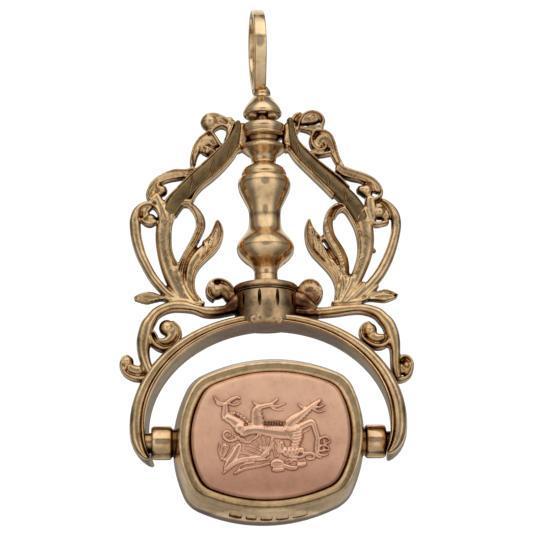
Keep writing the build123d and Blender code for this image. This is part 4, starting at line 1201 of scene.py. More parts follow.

# The beast on the front plaque, upside down there, drawn one by one. Each: height in mm, and rows of across,
# share of the plaque's width, up, share of its height, both from its middle, and width in mm.
BEAST = {
    "body": (0.30, [
        (-0.179, 0.017, 0.90), (-0.142, 0.033, 0.85), (-0.091, 0.039, 0.80), (-0.051, 0.033, 0.90),
        (-0.008, 0.025, 1.00), (0.041, 0.017, 1.10), (0.080, 0.013, 1.15), (0.119, 0.017, 1.10),
        (0.155, 0.025, 0.90),
    ]),
    "hind_thigh": (0.27, [
        (-0.278, 0.133, 0.75), (-0.250, 0.117, 0.80), (-0.221, 0.092, 0.95), (-0.194, 0.059, 1.10),
    ]),
    "hind_shank": (0.22, [
        (-0.287, 0.240, 0.50), (-0.285, 0.205, 0.62), (-0.287, 0.167, 0.70), (-0.292, 0.142, 0.65),
    ]),
    "hind_heel": (0.16, [
        (-0.304, 0.125, 0.22), (-0.273, 0.116, 0.24), (-0.243, 0.115, 0.16),
    ]),
    "hind_toe_left": (0.18, [
        (-0.354, 0.307, 0.14), (-0.347, 0.280, 0.24), (-0.332, 0.257, 0.30), (-0.309, 0.244, 0.32),
        (-0.283, 0.238, 0.32),
    ]),
    "hind_toe_low": (0.12, [
        (-0.342, 0.251, 0.16), (-0.325, 0.233, 0.20), (-0.306, 0.233, 0.18),
    ]),
    "hind_toe_right": (0.20, [
        (-0.282, 0.242, 0.40), (-0.260, 0.264, 0.40), (-0.234, 0.282, 0.36), (-0.211, 0.292, 0.28),
        (-0.194, 0.282, 0.20),
    ]),
    "hind_toe_under": (0.15, [
        (-0.260, 0.242, 0.20), (-0.234, 0.230, 0.22), (-0.208, 0.237, 0.22), (-0.188, 0.255, 0.18),
    ]),
    "second_leg": (0.24, [
        (-0.090, 0.054, 1.10), (-0.089, 0.096, 1.05), (-0.090, 0.138, 1.00), (-0.096, 0.176, 0.80),
        (-0.087, 0.205, 0.60),
    ]),
    "second_spur": (0.16, [
        (-0.112, 0.265, 0.16), (-0.103, 0.243, 0.24), (-0.080, 0.228, 0.30), (-0.057, 0.222, 0.36),
    ]),
    "second_foot": (0.22, [
        (-0.080, 0.208, 0.50), (-0.051, 0.220, 0.50), (-0.021, 0.227, 0.46), (0.008, 0.235, 0.40),
    ]),
    "second_toe_up": (0.20, [
        (-0.002, 0.233, 0.34), (0.021, 0.252, 0.30), (0.038, 0.269, 0.26), (0.047, 0.279, 0.18),
    ]),
    "second_toe_mid": (0.18, [
        (0.002, 0.225, 0.30), (0.031, 0.218, 0.26), (0.060, 0.225, 0.24), (0.096, 0.245, 0.12),
    ]),
    "second_toe_low": (0.15, [
        (0.002, 0.210, 0.22), (0.025, 0.193, 0.22), (0.054, 0.188, 0.20), (0.076, 0.192, 0.14),
    ]),
    "fore_leg": (0.26, [
        (0.109, 0.075, 0.90), (0.136, 0.105, 0.90), (0.170, 0.133, 0.80), (0.198, 0.158, 0.70),
        (0.224, 0.183, 0.60), (0.253, 0.212, 0.54), (0.283, 0.238, 0.46), (0.313, 0.264, 0.30),
    ]),
    "fore_toe_up": (0.20, [
        (0.276, 0.233, 0.32), (0.298, 0.250, 0.28), (0.318, 0.270, 0.20),
    ]),
    "fore_spur": (0.16, [
        (0.175, 0.238, 0.16), (0.183, 0.218, 0.24), (0.207, 0.205, 0.30), (0.237, 0.207, 0.34),
    ]),
    "fore_toe_mid": (0.18, [
        (0.260, 0.208, 0.30), (0.286, 0.208, 0.28), (0.311, 0.212, 0.26), (0.340, 0.230, 0.14),
    ]),
    "fore_toe_low": (0.15, [
        (0.260, 0.197, 0.22), (0.285, 0.180, 0.22), (0.311, 0.173, 0.20), (0.338, 0.185, 0.14),
    ]),
    "chest": (0.30, [
        (0.087, 0.029, 1.10), (0.116, 0.008, 1.20), (0.132, -0.021, 0.90),
    ]),
    "raised_arm": (0.24, [
        (0.155, 0.034, 0.60), (0.181, 0.054, 0.64), (0.211, 0.073, 0.64), (0.237, 0.088, 0.62),
        (0.258, 0.093, 0.56), (0.268, 0.071, 0.54), (0.276, 0.029, 0.52), (0.287, -0.013, 0.50),
        (0.292, -0.049, 0.50),
    ]),
    "arm_ledge": (0.14, [
        (0.189, 0.003, 0.18), (0.215, 0.021, 0.22), (0.243, 0.038, 0.18),
    ]),
    "paw_palm": (0.22, [
        (0.291, -0.043, 0.50), (0.288, -0.079, 0.60), (0.285, -0.116, 0.60), (0.284, -0.146, 0.44),
    ]),
    "paw_ring_top": (0.18, [
        (0.292, -0.058, 0.26), (0.313, -0.033, 0.26), (0.339, -0.024, 0.24), (0.360, -0.038, 0.22),
        (0.364, -0.063, 0.20), (0.345, -0.076, 0.18), (0.325, -0.069, 0.16),
    ]),
    "paw_two": (0.18, [
        (0.294, -0.105, 0.24), (0.318, -0.091, 0.24), (0.344, -0.096, 0.22), (0.362, -0.118, 0.16),
    ]),
    "paw_three": (0.17, [
        (0.293, -0.130, 0.22), (0.317, -0.135, 0.24), (0.342, -0.126, 0.20), (0.358, -0.131, 0.14),
    ]),
    "paw_four": (0.16, [
        (0.288, -0.150, 0.22), (0.311, -0.168, 0.24), (0.338, -0.165, 0.20), (0.355, -0.155, 0.14),
    ]),
    "paw_five": (0.14, [
        (0.275, -0.163, 0.20), (0.292, -0.182, 0.22), (0.309, -0.187, 0.16),
    ]),
    "neck": (0.28, [
        (0.158, 0.042, 0.95), (0.168, 0.004, 0.95), (0.164, -0.033, 0.90), (0.152, -0.068, 0.85),
        (0.140, -0.096, 0.80),
    ]),
    "head_root": (0.22, [
        (0.063, -0.068, 0.50), (0.064, -0.101, 0.65), (0.077, -0.133, 0.74),
    ]),
    "head": (0.28, [
        (0.080, -0.133, 0.76), (0.110, -0.141, 0.94), (0.144, -0.135, 0.80), (0.175, -0.126, 0.62),
        (0.196, -0.126, 0.46),
    ]),
    "brow": (0.20, [
        (0.189, -0.116, 0.20), (0.203, -0.135, 0.24), (0.199, -0.158, 0.20),
    ]),
    "snout": (0.20, [
        (0.198, -0.160, 0.30), (0.224, -0.151, 0.36), (0.250, -0.151, 0.34), (0.266, -0.168, 0.30),
        (0.263, -0.193, 0.24),
    ]),
    "snout_low": (0.16, [
        (0.215, -0.190, 0.24), (0.240, -0.197, 0.30), (0.266, -0.190, 0.24),
    ]),
    "jaw": (0.18, [
        (0.123, -0.182, 0.24), (0.156, -0.183, 0.30), (0.189, -0.177, 0.30), (0.208, -0.166, 0.24),
    ]),
    "jaw_low": (0.14, [
        (0.158, -0.230, 0.24), (0.185, -0.227, 0.30), (0.211, -0.222, 0.22),
    ]),
    "curl_one": (0.14, [
        (0.084, -0.210, 0.18), (0.106, -0.198, 0.22), (0.126, -0.213, 0.20), (0.109, -0.227, 0.16),
    ]),
    "curl_two": (0.14, [
        (0.130, -0.205, 0.18), (0.148, -0.202, 0.20), (0.166, -0.217, 0.20),
    ]),
    "eye": (0.22, [
        (0.000, -0.227, 0.44), (0.021, -0.218, 0.64), (0.047, -0.218, 0.64), (0.068, -0.228, 0.44),
    ]),
    "eye_lid": (0.18, [
        (-0.006, -0.247, 0.18), (0.032, -0.257, 0.18), (0.074, -0.247, 0.18),
    ]),
    "crest_one": (0.20, [
        (0.006, -0.277, 0.36), (0.034, -0.279, 0.40), (0.070, -0.275, 0.36),
    ]),
    "crest_two": (0.20, [
        (0.076, -0.243, 0.36), (0.097, -0.255, 0.46), (0.123, -0.264, 0.46), (0.151, -0.264, 0.38),
    ]),
    "crest_three": (0.18, [
        (0.162, -0.245, 0.30), (0.189, -0.242, 0.36), (0.212, -0.235, 0.28),
    ]),
    "gap_wave": (0.14, [
        (0.030, -0.061, 0.20), (0.045, -0.088, 0.24), (0.033, -0.116, 0.24), (0.043, -0.145, 0.24),
        (0.034, -0.175, 0.20),
    ]),
    "gap_edge": (0.16, [
        (0.016, -0.063, 0.16), (0.011, -0.105, 0.18), (0.015, -0.146, 0.18), (0.023, -0.180, 0.16),
    ]),
    "wing_shoulder": (0.20, [
        (0.080, -0.033, 0.22), (0.050, -0.019, 0.26), (0.020, -0.021, 0.30), (0.003, -0.043, 0.34),
        (-0.002, -0.076, 0.38), (-0.011, -0.113, 0.40), (-0.035, -0.146, 0.40), (-0.064, -0.166, 0.36),
    ]),
    "wing_top": (0.17, [
        (-0.145, -0.066, 0.20), (-0.115, -0.039, 0.22), (-0.086, -0.013, 0.24), (-0.061, 0.014, 0.26),
        (-0.032, 0.004, 0.26), (-0.002, -0.008, 0.22),
    ]),
    "wing_back": (0.15, [
        (-0.192, -0.049, 0.30), (-0.166, -0.058, 0.30), (-0.142, -0.066, 0.24),
    ]),
    "rib_one": (0.12, [
        (-0.047, -0.141, 0.18), (-0.083, -0.120, 0.16), (-0.124, -0.096, 0.16), (-0.162, -0.088, 0.14),
    ]),
    "rib_two": (0.12, [
        (-0.045, -0.135, 0.18), (-0.081, -0.096, 0.16), (-0.115, -0.071, 0.15), (-0.140, -0.063, 0.14),
    ]),
    "rib_three": (0.12, [
        (-0.042, -0.128, 0.18), (-0.070, -0.083, 0.16), (-0.092, -0.044, 0.15), (-0.103, -0.026, 0.14),
    ]),
    "rib_four": (0.12, [
        (-0.035, -0.121, 0.18), (-0.053, -0.071, 0.16), (-0.066, -0.024, 0.15), (-0.068, 0.004, 0.14),
    ]),
    "rib_five": (0.12, [
        (-0.027, -0.108, 0.18), (-0.032, -0.054, 0.16), (-0.036, -0.008, 0.14),
    ]),
    "sheet_line_one": (0.13, [
        (-0.204, -0.141, 0.18), (-0.162, -0.153, 0.20), (-0.120, -0.161, 0.20), (-0.079, -0.173, 0.18),
    ]),
    "sheet_line_two": (0.12, [
        (-0.164, -0.110, 0.16), (-0.129, -0.130, 0.16), (-0.094, -0.145, 0.16),
    ]),
    "wing_sheet": (0.16, [
        (-0.202, -0.084, 0.60), (-0.217, -0.125, 0.74), (-0.235, -0.165, 0.80), (-0.260, -0.203, 0.70),
        (-0.282, -0.238, 0.46), (-0.296, -0.260, 0.20),
    ]),
    "wing_edge": (0.17, [
        (-0.296, -0.275, 0.20), (-0.264, -0.242, 0.30), (-0.227, -0.212, 0.34), (-0.185, -0.193, 0.36),
        (-0.140, -0.187, 0.38), (-0.090, -0.182, 0.38), (-0.048, -0.173, 0.32), (-0.015, -0.153, 0.24),
    ]),
    "far_wing": (0.14, [
        (-0.303, -0.300, 0.24), (-0.277, -0.275, 0.26), (-0.244, -0.247, 0.22), (-0.208, -0.222, 0.20),
        (-0.162, -0.208, 0.20), (-0.109, -0.203, 0.20), (-0.057, -0.200, 0.22), (-0.018, -0.193, 0.22),
    ]),
    "far_wing_low": (0.14, [
        (-0.234, -0.302, 0.26), (-0.201, -0.282, 0.30), (-0.162, -0.265, 0.30), (-0.116, -0.255, 0.30),
        (-0.070, -0.245, 0.30), (-0.018, -0.228, 0.26),
    ]),
    "far_wing_inner": (0.12, [
        (-0.213, -0.274, 0.16), (-0.194, -0.243, 0.18), (-0.155, -0.228, 0.18), (-0.109, -0.223, 0.16),
    ]),
    "far_wing_back": (0.12, [
        (-0.299, -0.202, 0.20), (-0.266, -0.161, 0.22), (-0.244, -0.116, 0.22), (-0.240, -0.091, 0.18),
    ]),
    "tail": (0.17, [
        (-0.205, -0.018, 0.32), (-0.227, -0.041, 0.32), (-0.257, -0.051, 0.30), (-0.283, -0.041, 0.30),
        (-0.299, -0.014, 0.30), (-0.296, 0.014, 0.28), (-0.277, 0.029, 0.24), (-0.257, 0.016, 0.22),
        (-0.255, -0.008, 0.20), (-0.270, -0.018, 0.18),
    ]),
    "tail_root": (0.18, [
        (-0.231, -0.009, 0.26), (-0.201, -0.034, 0.28), (-0.166, -0.041, 0.24),
    ]),
    "barb_edge": (0.15, [
        (-0.321, -0.063, 0.20), (-0.329, -0.113, 0.22), (-0.323, -0.158, 0.22), (-0.315, -0.197, 0.14),
    ]),
    "barb_field": (0.11, [
        (-0.295, -0.083, 0.60), (-0.302, -0.121, 0.60), (-0.311, -0.160, 0.36),
    ]),
    "barb_back": (0.15, [
        (-0.317, -0.063, 0.18), (-0.292, -0.090, 0.20), (-0.266, -0.084, 0.20), (-0.279, -0.130, 0.20),
        (-0.309, -0.192, 0.16),
    ]),
}
# Round forms. Columns: across, up, radius in mm, height in mm.
BEAST_BALLS = [
    (-0.197, 0.051, 0.64, 0.34), (0.161, 0.024, 0.32, 0.28), (0.195, -0.141, 0.20, 0.24),
    (0.298, -0.043, 0.24, 0.24), (0.332, -0.054, 0.18, 0.14), (0.326, -0.116, 0.16, 0.14),
    (-0.249, 0.166, 0.19, 0.24), (-0.230, 0.168, 0.21, 0.24), (-0.206, 0.158, 0.21, 0.24),
    (-0.187, 0.140, 0.22, 0.24), (-0.167, 0.123, 0.22, 0.24), (-0.149, 0.100, 0.22, 0.24),
    (-0.136, 0.076, 0.20, 0.24), (0.136, 0.068, 0.13, 0.22), (0.155, 0.083, 0.13, 0.22),
    (0.174, 0.098, 0.13, 0.22), (0.194, 0.116, 0.13, 0.22), (0.212, 0.135, 0.13, 0.22),
    (0.229, 0.155, 0.13, 0.22), (0.246, 0.177, 0.13, 0.22), (0.182, 0.076, 0.14, 0.22),
    (0.200, 0.090, 0.14, 0.22), (0.219, 0.103, 0.14, 0.22), (0.237, 0.111, 0.14, 0.22),
    (0.254, 0.110, 0.14, 0.22), (-0.060, 0.170, 0.14, 0.24), (-0.051, 0.138, 0.14, 0.24),
    (-0.047, 0.105, 0.14, 0.24), (-0.126, 0.076, 0.14, 0.24), (-0.107, 0.068, 0.14, 0.24),
    (-0.064, 0.188, 0.14, 0.24),
]
# Short ridges across the belly and bands across the neck. Columns: across and up of both ends.
BEAST_RIDGES = [
    (-0.047, 0.095, -0.042, 0.049), (-0.030, 0.100, -0.025, 0.054), (-0.013, 0.103, -0.008, 0.058),
    (0.004, 0.106, 0.009, 0.061), (0.021, 0.108, 0.026, 0.063), (0.038, 0.108, 0.043, 0.063),
    (0.055, 0.106, 0.060, 0.061), (0.072, 0.103, 0.077, 0.058), (0.135, 0.003, 0.195, 0.013),
    (0.134, -0.021, 0.194, -0.011), (0.132, -0.044, 0.192, -0.034), (0.127, -0.068, 0.187, -0.058),
    (0.122, -0.091, 0.182, -0.081), (0.096, -0.111, 0.102, -0.168), (0.120, -0.110, 0.125, -0.163),
    (0.143, -0.108, 0.149, -0.158), (0.167, -0.106, 0.172, -0.153),
]
# How the beast lies on the face: its middle and its cut-off back, in mm behind the face; how much a
# stroke is widened by each mm of its height; and the size of the ridges in mm
beast_sink = 0.045
beast_cut = 0.15
stroke_steps = 2
stroke_swell = 0.9
ridge_height = 0.32
ridge_width = 0.12


def on_plaque(across, up):
    """A point of the plaque's face, x and z, from its two shares."""
    return across * 2 * plaque_half_width, pivot_z + up * 2 * plaque_half_height


def beast():
    """The raised heraldic beast: strokes, balls and ridges fused to one skin, cut off in the plaque."""
    pieces = []
    for name, (height, rows) in BEAST.items():
        swell = 1 + stroke_swell * height
        run = [
            (*on_plaque(across, up), width * swell, 2 * height)
            for across, up, width in through_points(rows, stroke_steps)
        ]
        pieces.append(grow(name, OUTLINES["round"], rounded_run(run)))
    for across, up, radius, height in BEAST_BALLS:
        x, z = on_plaque(across, up)
        pieces.append(flat_ball(x, 0, z, radius, height))
    for start_across, start_up, end_across, end_up in BEAST_RIDGES:
        ends = (on_plaque(start_across, start_up), on_plaque(end_across, end_up))
        run = [(x, z, ridge_width, 2 * ridge_height) for x, z in ends]
        pieces.append(grow("ridge", OUTLINES["round"], rounded_run(run)))
    whole = join("beast", pieces)
    shift(whole, (0, plaque_face_y + beast_sink, 0))
    fuse(whole, voxel=0.045, rounds=1)
    edit_all(whole)
    bpy.ops.mesh.bisect(
        plane_co=(0, plaque_face_y + beast_cut, 0), plane_no=(0, 1, 0), use_fill=True, clear_outer=True
    )
    leave_edit()
    settle(whole)
    return whole


relief = beast()


# Nodes: what a material or the light is worked out with

def feed(tree, socket, value):
    """Links a socket's input to another node's output, or sets its number."""
    if isinstance(value, bpy.types.NodeSocket):
        tree.links.new(value, socket)
    else:
        socket.default_value = value


def calc(tree, operation, *values):
    """One sum, on numbers or outputs of other nodes."""
    node = tree.nodes.new("ShaderNodeMath")
    node.operation = operation
    for socket, value in zip(node.inputs, values):
        feed(tree, socket, value)
    return node.outputs[0]


def ramp(tree, factor, stops, smooth=False):
    """A run of greys or colours along a number from 0 to 1."""
    node = tree.nodes.new("ShaderNodeValToRGB")
    node.color_ramp.interpolation = "EASE" if smooth else "LINEAR"
    elements = node.color_ramp.elements
    while len(elements) < len(stops):
        elements.new(0.5)
    for element, (place, shade) in zip(elements, stops):
        element.position = place
        element.color = (shade, shade, shade, 1) if isinstance(shade, float) else (*shade, 1)
    feed(tree, node.inputs["Fac"], factor)
    return node.outputs["Color"]


def mix(tree, kind, factor, first, second):
    """Mixes two colours."""
    node = tree.nodes.new("ShaderNodeMix")
    node.data_type = "RGBA"
    node.blend_type = kind
    feed(tree, node.inputs[0], factor)
    feed(tree, node.inputs[6], first)
    feed(tree, node.inputs[7], second)
    return node.outputs[2]


def darken(tree, colour, shade, share=1.0):
    """Multiplies a colour by a shade, wholly or by a share."""
    return mix(tree, "MULTIPLY", share, colour, shade)


def apart(tree, vector):
    """The three numbers of a vector."""
    node = tree.nodes.new("ShaderNodeSeparateXYZ")
    tree.links.new(vector, node.inputs[0])
    return node.outputs


def own_place(tree):
    """Where a point of the piece lies, in metres from the origin."""
    return tree.nodes.new("ShaderNodeTexCoord").outputs["Object"]


def towards(tree, ray, direction):
    """Cosine of the angle between a ray and a direction."""
    node = tree.nodes.new("ShaderNodeVectorMath")
    node.operation = "DOT_PRODUCT"
    tree.links.new(ray, node.inputs[0])
    node.inputs[1].default_value = direction
    return node.outputs["Value"]


def glow(tree, colour, strength):
    """Light of a colour and a strength from the world."""
    node = tree.nodes.new("ShaderNodeBackground")
    feed(tree, node.inputs["Color"], colour)
    node.inputs["Strength"].default_value = strength
    return node.outputs[0]


# Light tent: share of full light by direction. Round it from the front (0) to the back (1) on both sides,
# and from straight below (0) to straight above (1).
TENT_AROUND = [
    (0.00, 0.95),
    (0.22, 1.00),
    (0.30, 0.62),
    (0.38, 0.28),
    (0.58, 0.24),
    (0.66, 0.12),
    (0.72, 0.14),
    (0.80, 0.75),
    (1.00, 0.85),
]
TENT_UPWARDS = [
    (0.000, 0.32),
    (0.220, 0.50),
    (0.360, 0.72),
    (0.500, 0.80),
    (0.556, 0.75),
    (0.576, 0.30),
    (0.594, 0.30),
    (0.616, 0.92),
    (0.640, 1.00),
    (0.850, 0.95),
    (1.000, 0.45),
]
tent_strength = 1.25
# The lens and its stand show as one soft dark spot straight in front of the pendant: cosine to its
# direction, and share of the light
lens_direction = (0.02, -0.998, 0.03)
LENS = [(0.91, 1.0), (0.97, 0.42)]
# Dim room behind the pendant. Columns: direction, cosines at which it begins and is full, colour.
DIM_ROOM = [
    ((0.0, 1.0, 0.0), (0.86, 0.93), (0.21, 0.205, 0.185)),
    ((0.0, 0.966, -0.259), (0.95, 0.99), (0.13, 0.115, 0.12)),
]
# Plain paper that the camera sees behind the pendant
PAPER = (1, 1, 1, 1)
paper_strength = 1.05


def light_tent():
    """A white tent round the pendant, with thin dark gaps, the lens as a dark spot, and a dim room."""
    world = bpy.data.worlds.new("tent")
    bpy.context.scene.world = world
    world.use_nodes = True
    tree = world.node_tree
    tree.nodes.clear()
    ray = tree.nodes.new("ShaderNodeTexCoord").outputs["Generated"]
    x, y, z = apart(tree, ray)
    around = calc(tree, "ABSOLUTE", calc(tree, "ARCTAN2", x, calc(tree, "MULTIPLY", y, -1.0)))
    around = calc(tree, "DIVIDE", around, math.pi)
    upwards = calc(tree, "DIVIDE", calc(tree, "ARCSINE", z), math.pi)
    upwards = calc(tree, "ADD", upwards, 0.5)
    light = darken(tree, ramp(tree, around, TENT_AROUND), ramp(tree, upwards, TENT_UPWARDS))
    light = darken(tree, light, ramp(tree, towards(tree, ray, lens_direction), LENS, smooth=True))
    for direction, (begins, full), colour in DIM_ROOM:
        inside = ramp(tree, towards(tree, ray, direction), [(begins, 0.0), (full, 1.0)], smooth=True)
        light = mix(tree, "MIX", inside, light, (*colour, 1))
    seen = tree.nodes.new("ShaderNodeLightPath")
    choose = tree.nodes.new("ShaderNodeMixShader")
    tree.links.new(seen.outputs["Is Camera Ray"], choose.inputs[0])
    tree.links.new(glow(tree, light, tent_strength), choose.inputs[1])
    tree.links.new(glow(tree, PAPER, paper_strength), choose.inputs[2])
    output = tree.nodes.new("ShaderNodeOutputWorld")
    tree.links.new(choose.outputs[0], output.inputs["Surface"])


def grain(tree, scales, detail=3.0, roughness=0.5):
    """Noise on the piece's own place, with a number of waves to the millimetre along each axis."""
    mapping = tree.nodes.new("ShaderNodeMapping")
    tree.links.new(own_place(tree), mapping.inputs["Vector"])
    mapping.inputs["Scale"].default_value = [scale / MM for scale in scales]
    noise = tree.nodes.new("ShaderNodeTexNoise")
    noise.inputs["Scale"].default_value = 1.0
    noise.inputs["Detail"].default_value = detail
    noise.inputs["Roughness"].default_value = roughness
    tree.links.new(mapping.outputs[0], noise.inputs["Vector"])
    return noise.outputs["Fac"]


def sway(tree, noise, size):
    """Noise as a number that sways round zero."""
    return calc(tree, "MULTIPLY", calc(tree, "SUBTRACT", noise, 0.5), size)


def bump(tree, height, depth, before=None):
    """Raises the surface by up to a depth in mm, on top of an earlier bump."""
    node = tree.nodes.new("ShaderNodeBump")
    node.inputs["Distance"].default_value = depth * MM
    feed(tree, node.inputs["Height"], height)
    if before is not None:
        tree.links.new(before, node.inputs["Normal"])
    return node.outputs[0]


def up_the_piece(tree, low, high):
    """Share of the way up between two heights in mm."""
    height = apart(tree, own_place(tree))[2]
    return calc(tree, "DIVIDE", calc(tree, "SUBTRACT", height, low * MM), (high - low) * MM)


# Painted shadow on both sides of the barrel, between it and the scrolls: its middle and half sizes in mm,
# and its colour from there outwards
barrel_shadow_across = barrel_radius + 0.5
barrel_shadow_z = barrel_top_z - barrel_height / 2
barrel_shadow_half_width = 2.3
barrel_shadow_half_height = 2.8
BARREL_SHADOW_SHADES = [(0.0, (0.17, 0.10, 0.10)), (0.32, (0.50, 0.38, 0.31)), (0.85, 1.0)]
BARREL_SHADOW_GRAIN = (1.4, 1.4, 1.4)
barrel_shadow_mottling = 1.8


def painted_barrel_shadow(tree, colour):
    """Paints shadow: darkens a colour in an uneven spot on each side of the barrel."""
    x, _, z = apart(tree, own_place(tree))
    across = calc(tree, "SUBTRACT", calc(tree, "ABSOLUTE", x), barrel_shadow_across * MM)
    across = calc(tree, "DIVIDE", across, barrel_shadow_half_width * MM)
    upwards = calc(tree, "SUBTRACT", z, barrel_shadow_z * MM)
    upwards = calc(tree, "DIVIDE", upwards, barrel_shadow_half_height * MM)
    outwards = calc(
        tree, "ADD", calc(tree, "MULTIPLY", across, across), calc(tree, "MULTIPLY", upwards, upwards)
    )
    mottling = sway(tree, grain(tree, BARREL_SHADOW_GRAIN, detail=5.0, roughness=0.7), barrel_shadow_mottling)
    return darken(tree, colour, ramp(tree, calc(tree, "ADD", outwards, mottling), BARREL_SHADOW_SHADES))


# Where a metal's shades lie between deep recess (0) and open face (1), and how patches shift them.
# The recess shades are partly painted shade and partly oxide.
SHADE_PLACES = (0.26, 0.60, 0.96)
PATCH_GRAIN = (0.5, 0.5, 0.5)
patch_sway = 0.6
# Where blotches are full and where they end in a patch, and stains that come with the blotches
BLOTCH_PLACES = (0.32, 0.62)
STAIN_GRAIN = (1.6, 1.6, 1.6)
STAIN = [(0.34, (0.70, 0.56, 0.44)), (0.50, 1.0)]
stain_share = 2.4
# Where the skin is at its least and its most rough, from pit to top
SKIN_PLACES = (0.3, 0.7)


def gold(name, shades, reach, roughness, waves, pores, blotches=0.25, painted_height_shade=None, shadow_by_barrel=False):
    """A worn metal: shades from recess to open face, partly painted shade and partly oxide, slow waves and
    fine pores in its skin.
    """
    material = bpy.data.materials.new(name)
    material.use_nodes = True
    tree = material.node_tree
    shader = tree.nodes["Principled BSDF"]
    shader.inputs["Metallic"].default_value = 1.0
    # Painted shade, partly oxide: ambient occlusion darkens the colour in recesses and creases
    cavity = tree.nodes.new("ShaderNodeAmbientOcclusion")
    cavity.inputs["Distance"].default_value = reach * MM
    cavity.samples = 8
    patches = grain(tree, PATCH_GRAIN, detail=4.0, roughness=0.6)
    openness = calc(tree, "ADD", cavity.outputs["AO"], sway(tree, patches, patch_sway))
    colour = ramp(tree, openness, list(zip(SHADE_PLACES, shades)))
    colour = darken(tree, colour, ramp(tree, patches, list(zip(BLOTCH_PLACES, (1.0 - blotches, 1.0)))))
    stains = ramp(tree, grain(tree, STAIN_GRAIN, detail=5.0, roughness=0.65), STAIN)
    colour = darken(tree, colour, stains, min(1.0, stain_share * blotches))
    # Painted shade, by height up the piece
    if painted_height_shade is not None:
        low, high, stops = painted_height_shade
        colour = darken(tree, colour, ramp(tree, up_the_piece(tree, low, high), stops, smooth=True))
    # Painted shadow in a spot on each side of the barrel
    if shadow_by_barrel:
        colour = painted_barrel_shadow(tree, colour)
    tree.links.new(colour, shader.inputs["Base Color"])
    pore_scales, pore_depth = pores
    skin = grain(tree, pore_scales, detail=4.0, roughness=0.6)
    tree.links.new(ramp(tree, skin, list(zip(SKIN_PLACES, roughness))), shader.inputs["Roughness"])
    wave_count, wave_depth = waves
    wavy = bump(tree, grain(tree, (wave_count, wave_count, wave_count), detail=2.0), wave_depth)
    tree.links.new(bump(tree, skin, pore_depth, wavy), shader.inputs["Normal"])
    return material


# Floor well below the pendant, pale and plain. Height in mm, size in metres.
floor_z = -130.0
floor_size = 6.0
floor_shade = 0.92
floor_roughness = 0.8
floor_glow = 0.35


def lay_floor():
    """A plain pale floor that the camera sees in the views from above."""
    clear_selection()
    bpy.ops.mesh.primitive_plane_add(size=floor_size, location=(0, 0, floor_z * MM))
    floor = bpy.context.object
    floor.name = "floor"
    pale = bpy.data.materials.new("pale_floor")
    pale.use_nodes = True
    shader = pale.node_tree.nodes["Principled BSDF"]
    shader.inputs["Base Color"].default_value = (floor_shade, floor_shade, floor_shade, 1)
    shader.inputs["Roughness"].default_value = floor_roughness
    shader.inputs["Emission Color"].default_value = (1, 1, 1, 1)
    shader.inputs["Emission Strength"].default_value = floor_glow
    floor.data.materials.append(pale)
    floor.visible_glossy = False


place_camera()
light_tent()
lay_floor()
bpy.context.scene.view_settings.view_transform = "Standard"

# Shades of each metal: in deep recesses, between, and on open faces; the recess shades are partly painted
# shade and partly oxide. The satin bands are darker on their open faces, and painted highlights keep them
# bright beside the ridges and in their cuts.
YELLOW = ((0.075, 0.032, 0.014), (0.50, 0.285, 0.125), (0.85, 0.60, 0.335))
CAST = ((0.080, 0.034, 0.014), (0.46, 0.26, 0.11), (0.84, 0.59, 0.325))
# Painted highlight: the satin's pale first shade falls in its cuts and beside the ridges, where occlusion is
# deepest
SATIN = ((0.80, 0.54, 0.29), (0.42, 0.28, 0.14), (0.255, 0.172, 0.082))
# Painted light: a brighter, lit copy of the yellow gold, for the bail
LIT_YELLOW = ((0.085, 0.036, 0.016), (0.60, 0.355, 0.165), (1.0, 0.74, 0.435))
DARKENED = ((0.060, 0.026, 0.018), (0.30, 0.165, 0.095), (0.62, 0.425, 0.235))
ROSE = ((0.24, 0.08, 0.04), (0.60, 0.30, 0.18), (1.0, 0.62, 0.415))
ROSE_RELIEF = ((0.13, 0.045, 0.022), (0.46, 0.225, 0.13), (0.98, 0.60, 0.40))
# Painted shade from a low height to a high one, in mm: shares of the way up, and shares of the colour.
# Darker towards the plaque's foot, where less light falls.
PLAQUE_PAINTED_SHADE = (
    pivot_z - plaque_half_height,
    pivot_z + plaque_half_height,
    [(0.0, (0.90, 0.82, 0.80)), (0.09, (0.70, 0.61, 0.59)), (0.35, (0.94, 0.90, 0.90)), (0.8, 1.0)],
)
# Painted shade: the seal's case is darker and browner below, but not on its very underside
CASE_PAINTED_SHADE = (
    pivot_z - rim_half_height,
    pivot_z + rim_half_height,
    [(0.0, 1.0), (0.015, (0.58, 0.56, 0.52)), (0.10, (0.60, 0.58, 0.54)), (0.45, 1.0)],
)
# Waves and pores: how many to the millimetre, and how deep in mm
SLOW_WAVES = (0.5, 0.03)
FINE_PORES = ((3, 3, 3), 0.004)
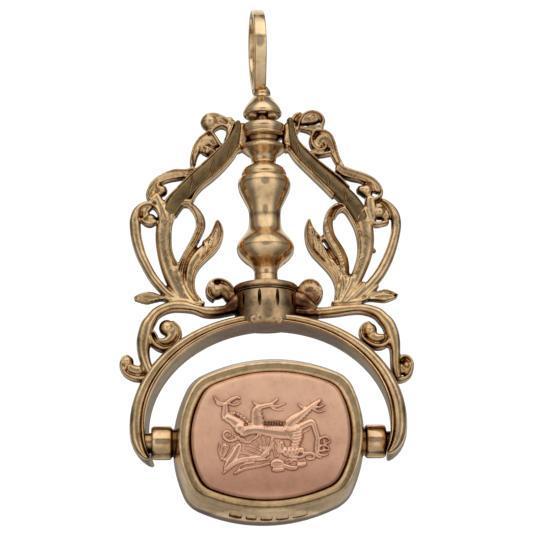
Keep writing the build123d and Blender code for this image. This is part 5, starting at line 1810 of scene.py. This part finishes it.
# The reach of a recess and its painted shade is in mm, and the roughness runs from a pit of the skin to its
# top
yellow_gold = gold(
    "yellow_gold", YELLOW, reach=1.3, roughness=(0.10, 0.22), waves=SLOW_WAVES, pores=FINE_PORES
)
# Painted light on the bail: the yellow gold made brighter and a little smoother
lit_yellow_gold = gold(
    "lit_yellow_gold", LIT_YELLOW, reach=1.3, roughness=(0.10, 0.20), waves=SLOW_WAVES, pores=FINE_PORES,
    blotches=0.2,
)
darkened_gold = gold(
    "darkened_gold", DARKENED, reach=1.6, roughness=(0.14, 0.26), waves=SLOW_WAVES, pores=FINE_PORES,
    blotches=0.35, shadow_by_barrel=True,
)
case_gold = gold(
    "case_gold", YELLOW, reach=1.3, roughness=(0.10, 0.22), waves=SLOW_WAVES, pores=FINE_PORES,
    painted_height_shade=CASE_PAINTED_SHADE,
)
cast_gold = gold(
    "cast_gold", CAST, reach=1.2, roughness=(0.12, 0.24), waves=(0.7, 0.035), pores=((4, 4, 4), 0.002),
    shadow_by_barrel=True,
)
satin_gold = gold(
    "satin_gold", SATIN, reach=0.3, roughness=(0.28, 0.42), waves=(0.4, 0.01), pores=((7, 7, 7), 0.006),
    blotches=0.4,
)
rose_relief = gold(
    "rose_relief", ROSE_RELIEF, reach=0.9, roughness=(0.20, 0.30), waves=(0.5, 0.01),
    pores=((4, 4, 4), 0.003), blotches=0.1, painted_height_shade=PLAQUE_PAINTED_SHADE,
)
rose_gold = gold(
    "rose_gold", ROSE, reach=0.7, roughness=(0.42, 0.56), waves=(0.3, 0.01),
    pores=((14, 3, 0.8), 0.004), blotches=0.1, painted_height_shade=PLAQUE_PAINTED_SHADE,
)

# What each piece rides on, the node it stands for, its slot and its metal
RIDES = [
    ("bail", "bail", "gold", (strip, cap), lit_yellow_gold),
    ("frame", "frame", "gold", (scroll_left, scroll_right), cast_gold),
    ("frame", "frame", "gold", (band_left, band_right), satin_gold),
    ("frame", "frame", "gold", (post, bow), yellow_gold),
    ("frame", "frame", "gold", (barrel, solder), darkened_gold),
    ("frame", "pivot_pin_left", "gold", (pin_left,), yellow_gold),
    ("frame", "pivot_pin_right", "gold", (pin_right,), yellow_gold),
    ("seal", "seal_case", "gold", (seal_band,), case_gold),
    ("seal", "seal_case", "gold", (sleeve_left, sleeve_right), yellow_gold),
    ("seal", "plaque_front", "rose_gold", (plaque_face,), rose_gold),
    ("seal", "plaque_front", "rose_gold", (relief,), rose_relief),
    ("seal", "plaque_back", "rose_gold", (plaque_rear,), rose_gold),
]
for body, node_name, slot, pieces, material in RIDES:
    for piece in pieces:
        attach(piece, body)
        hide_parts(node_name)
        piece.data.materials.clear()
        piece.data.materials.append(material)
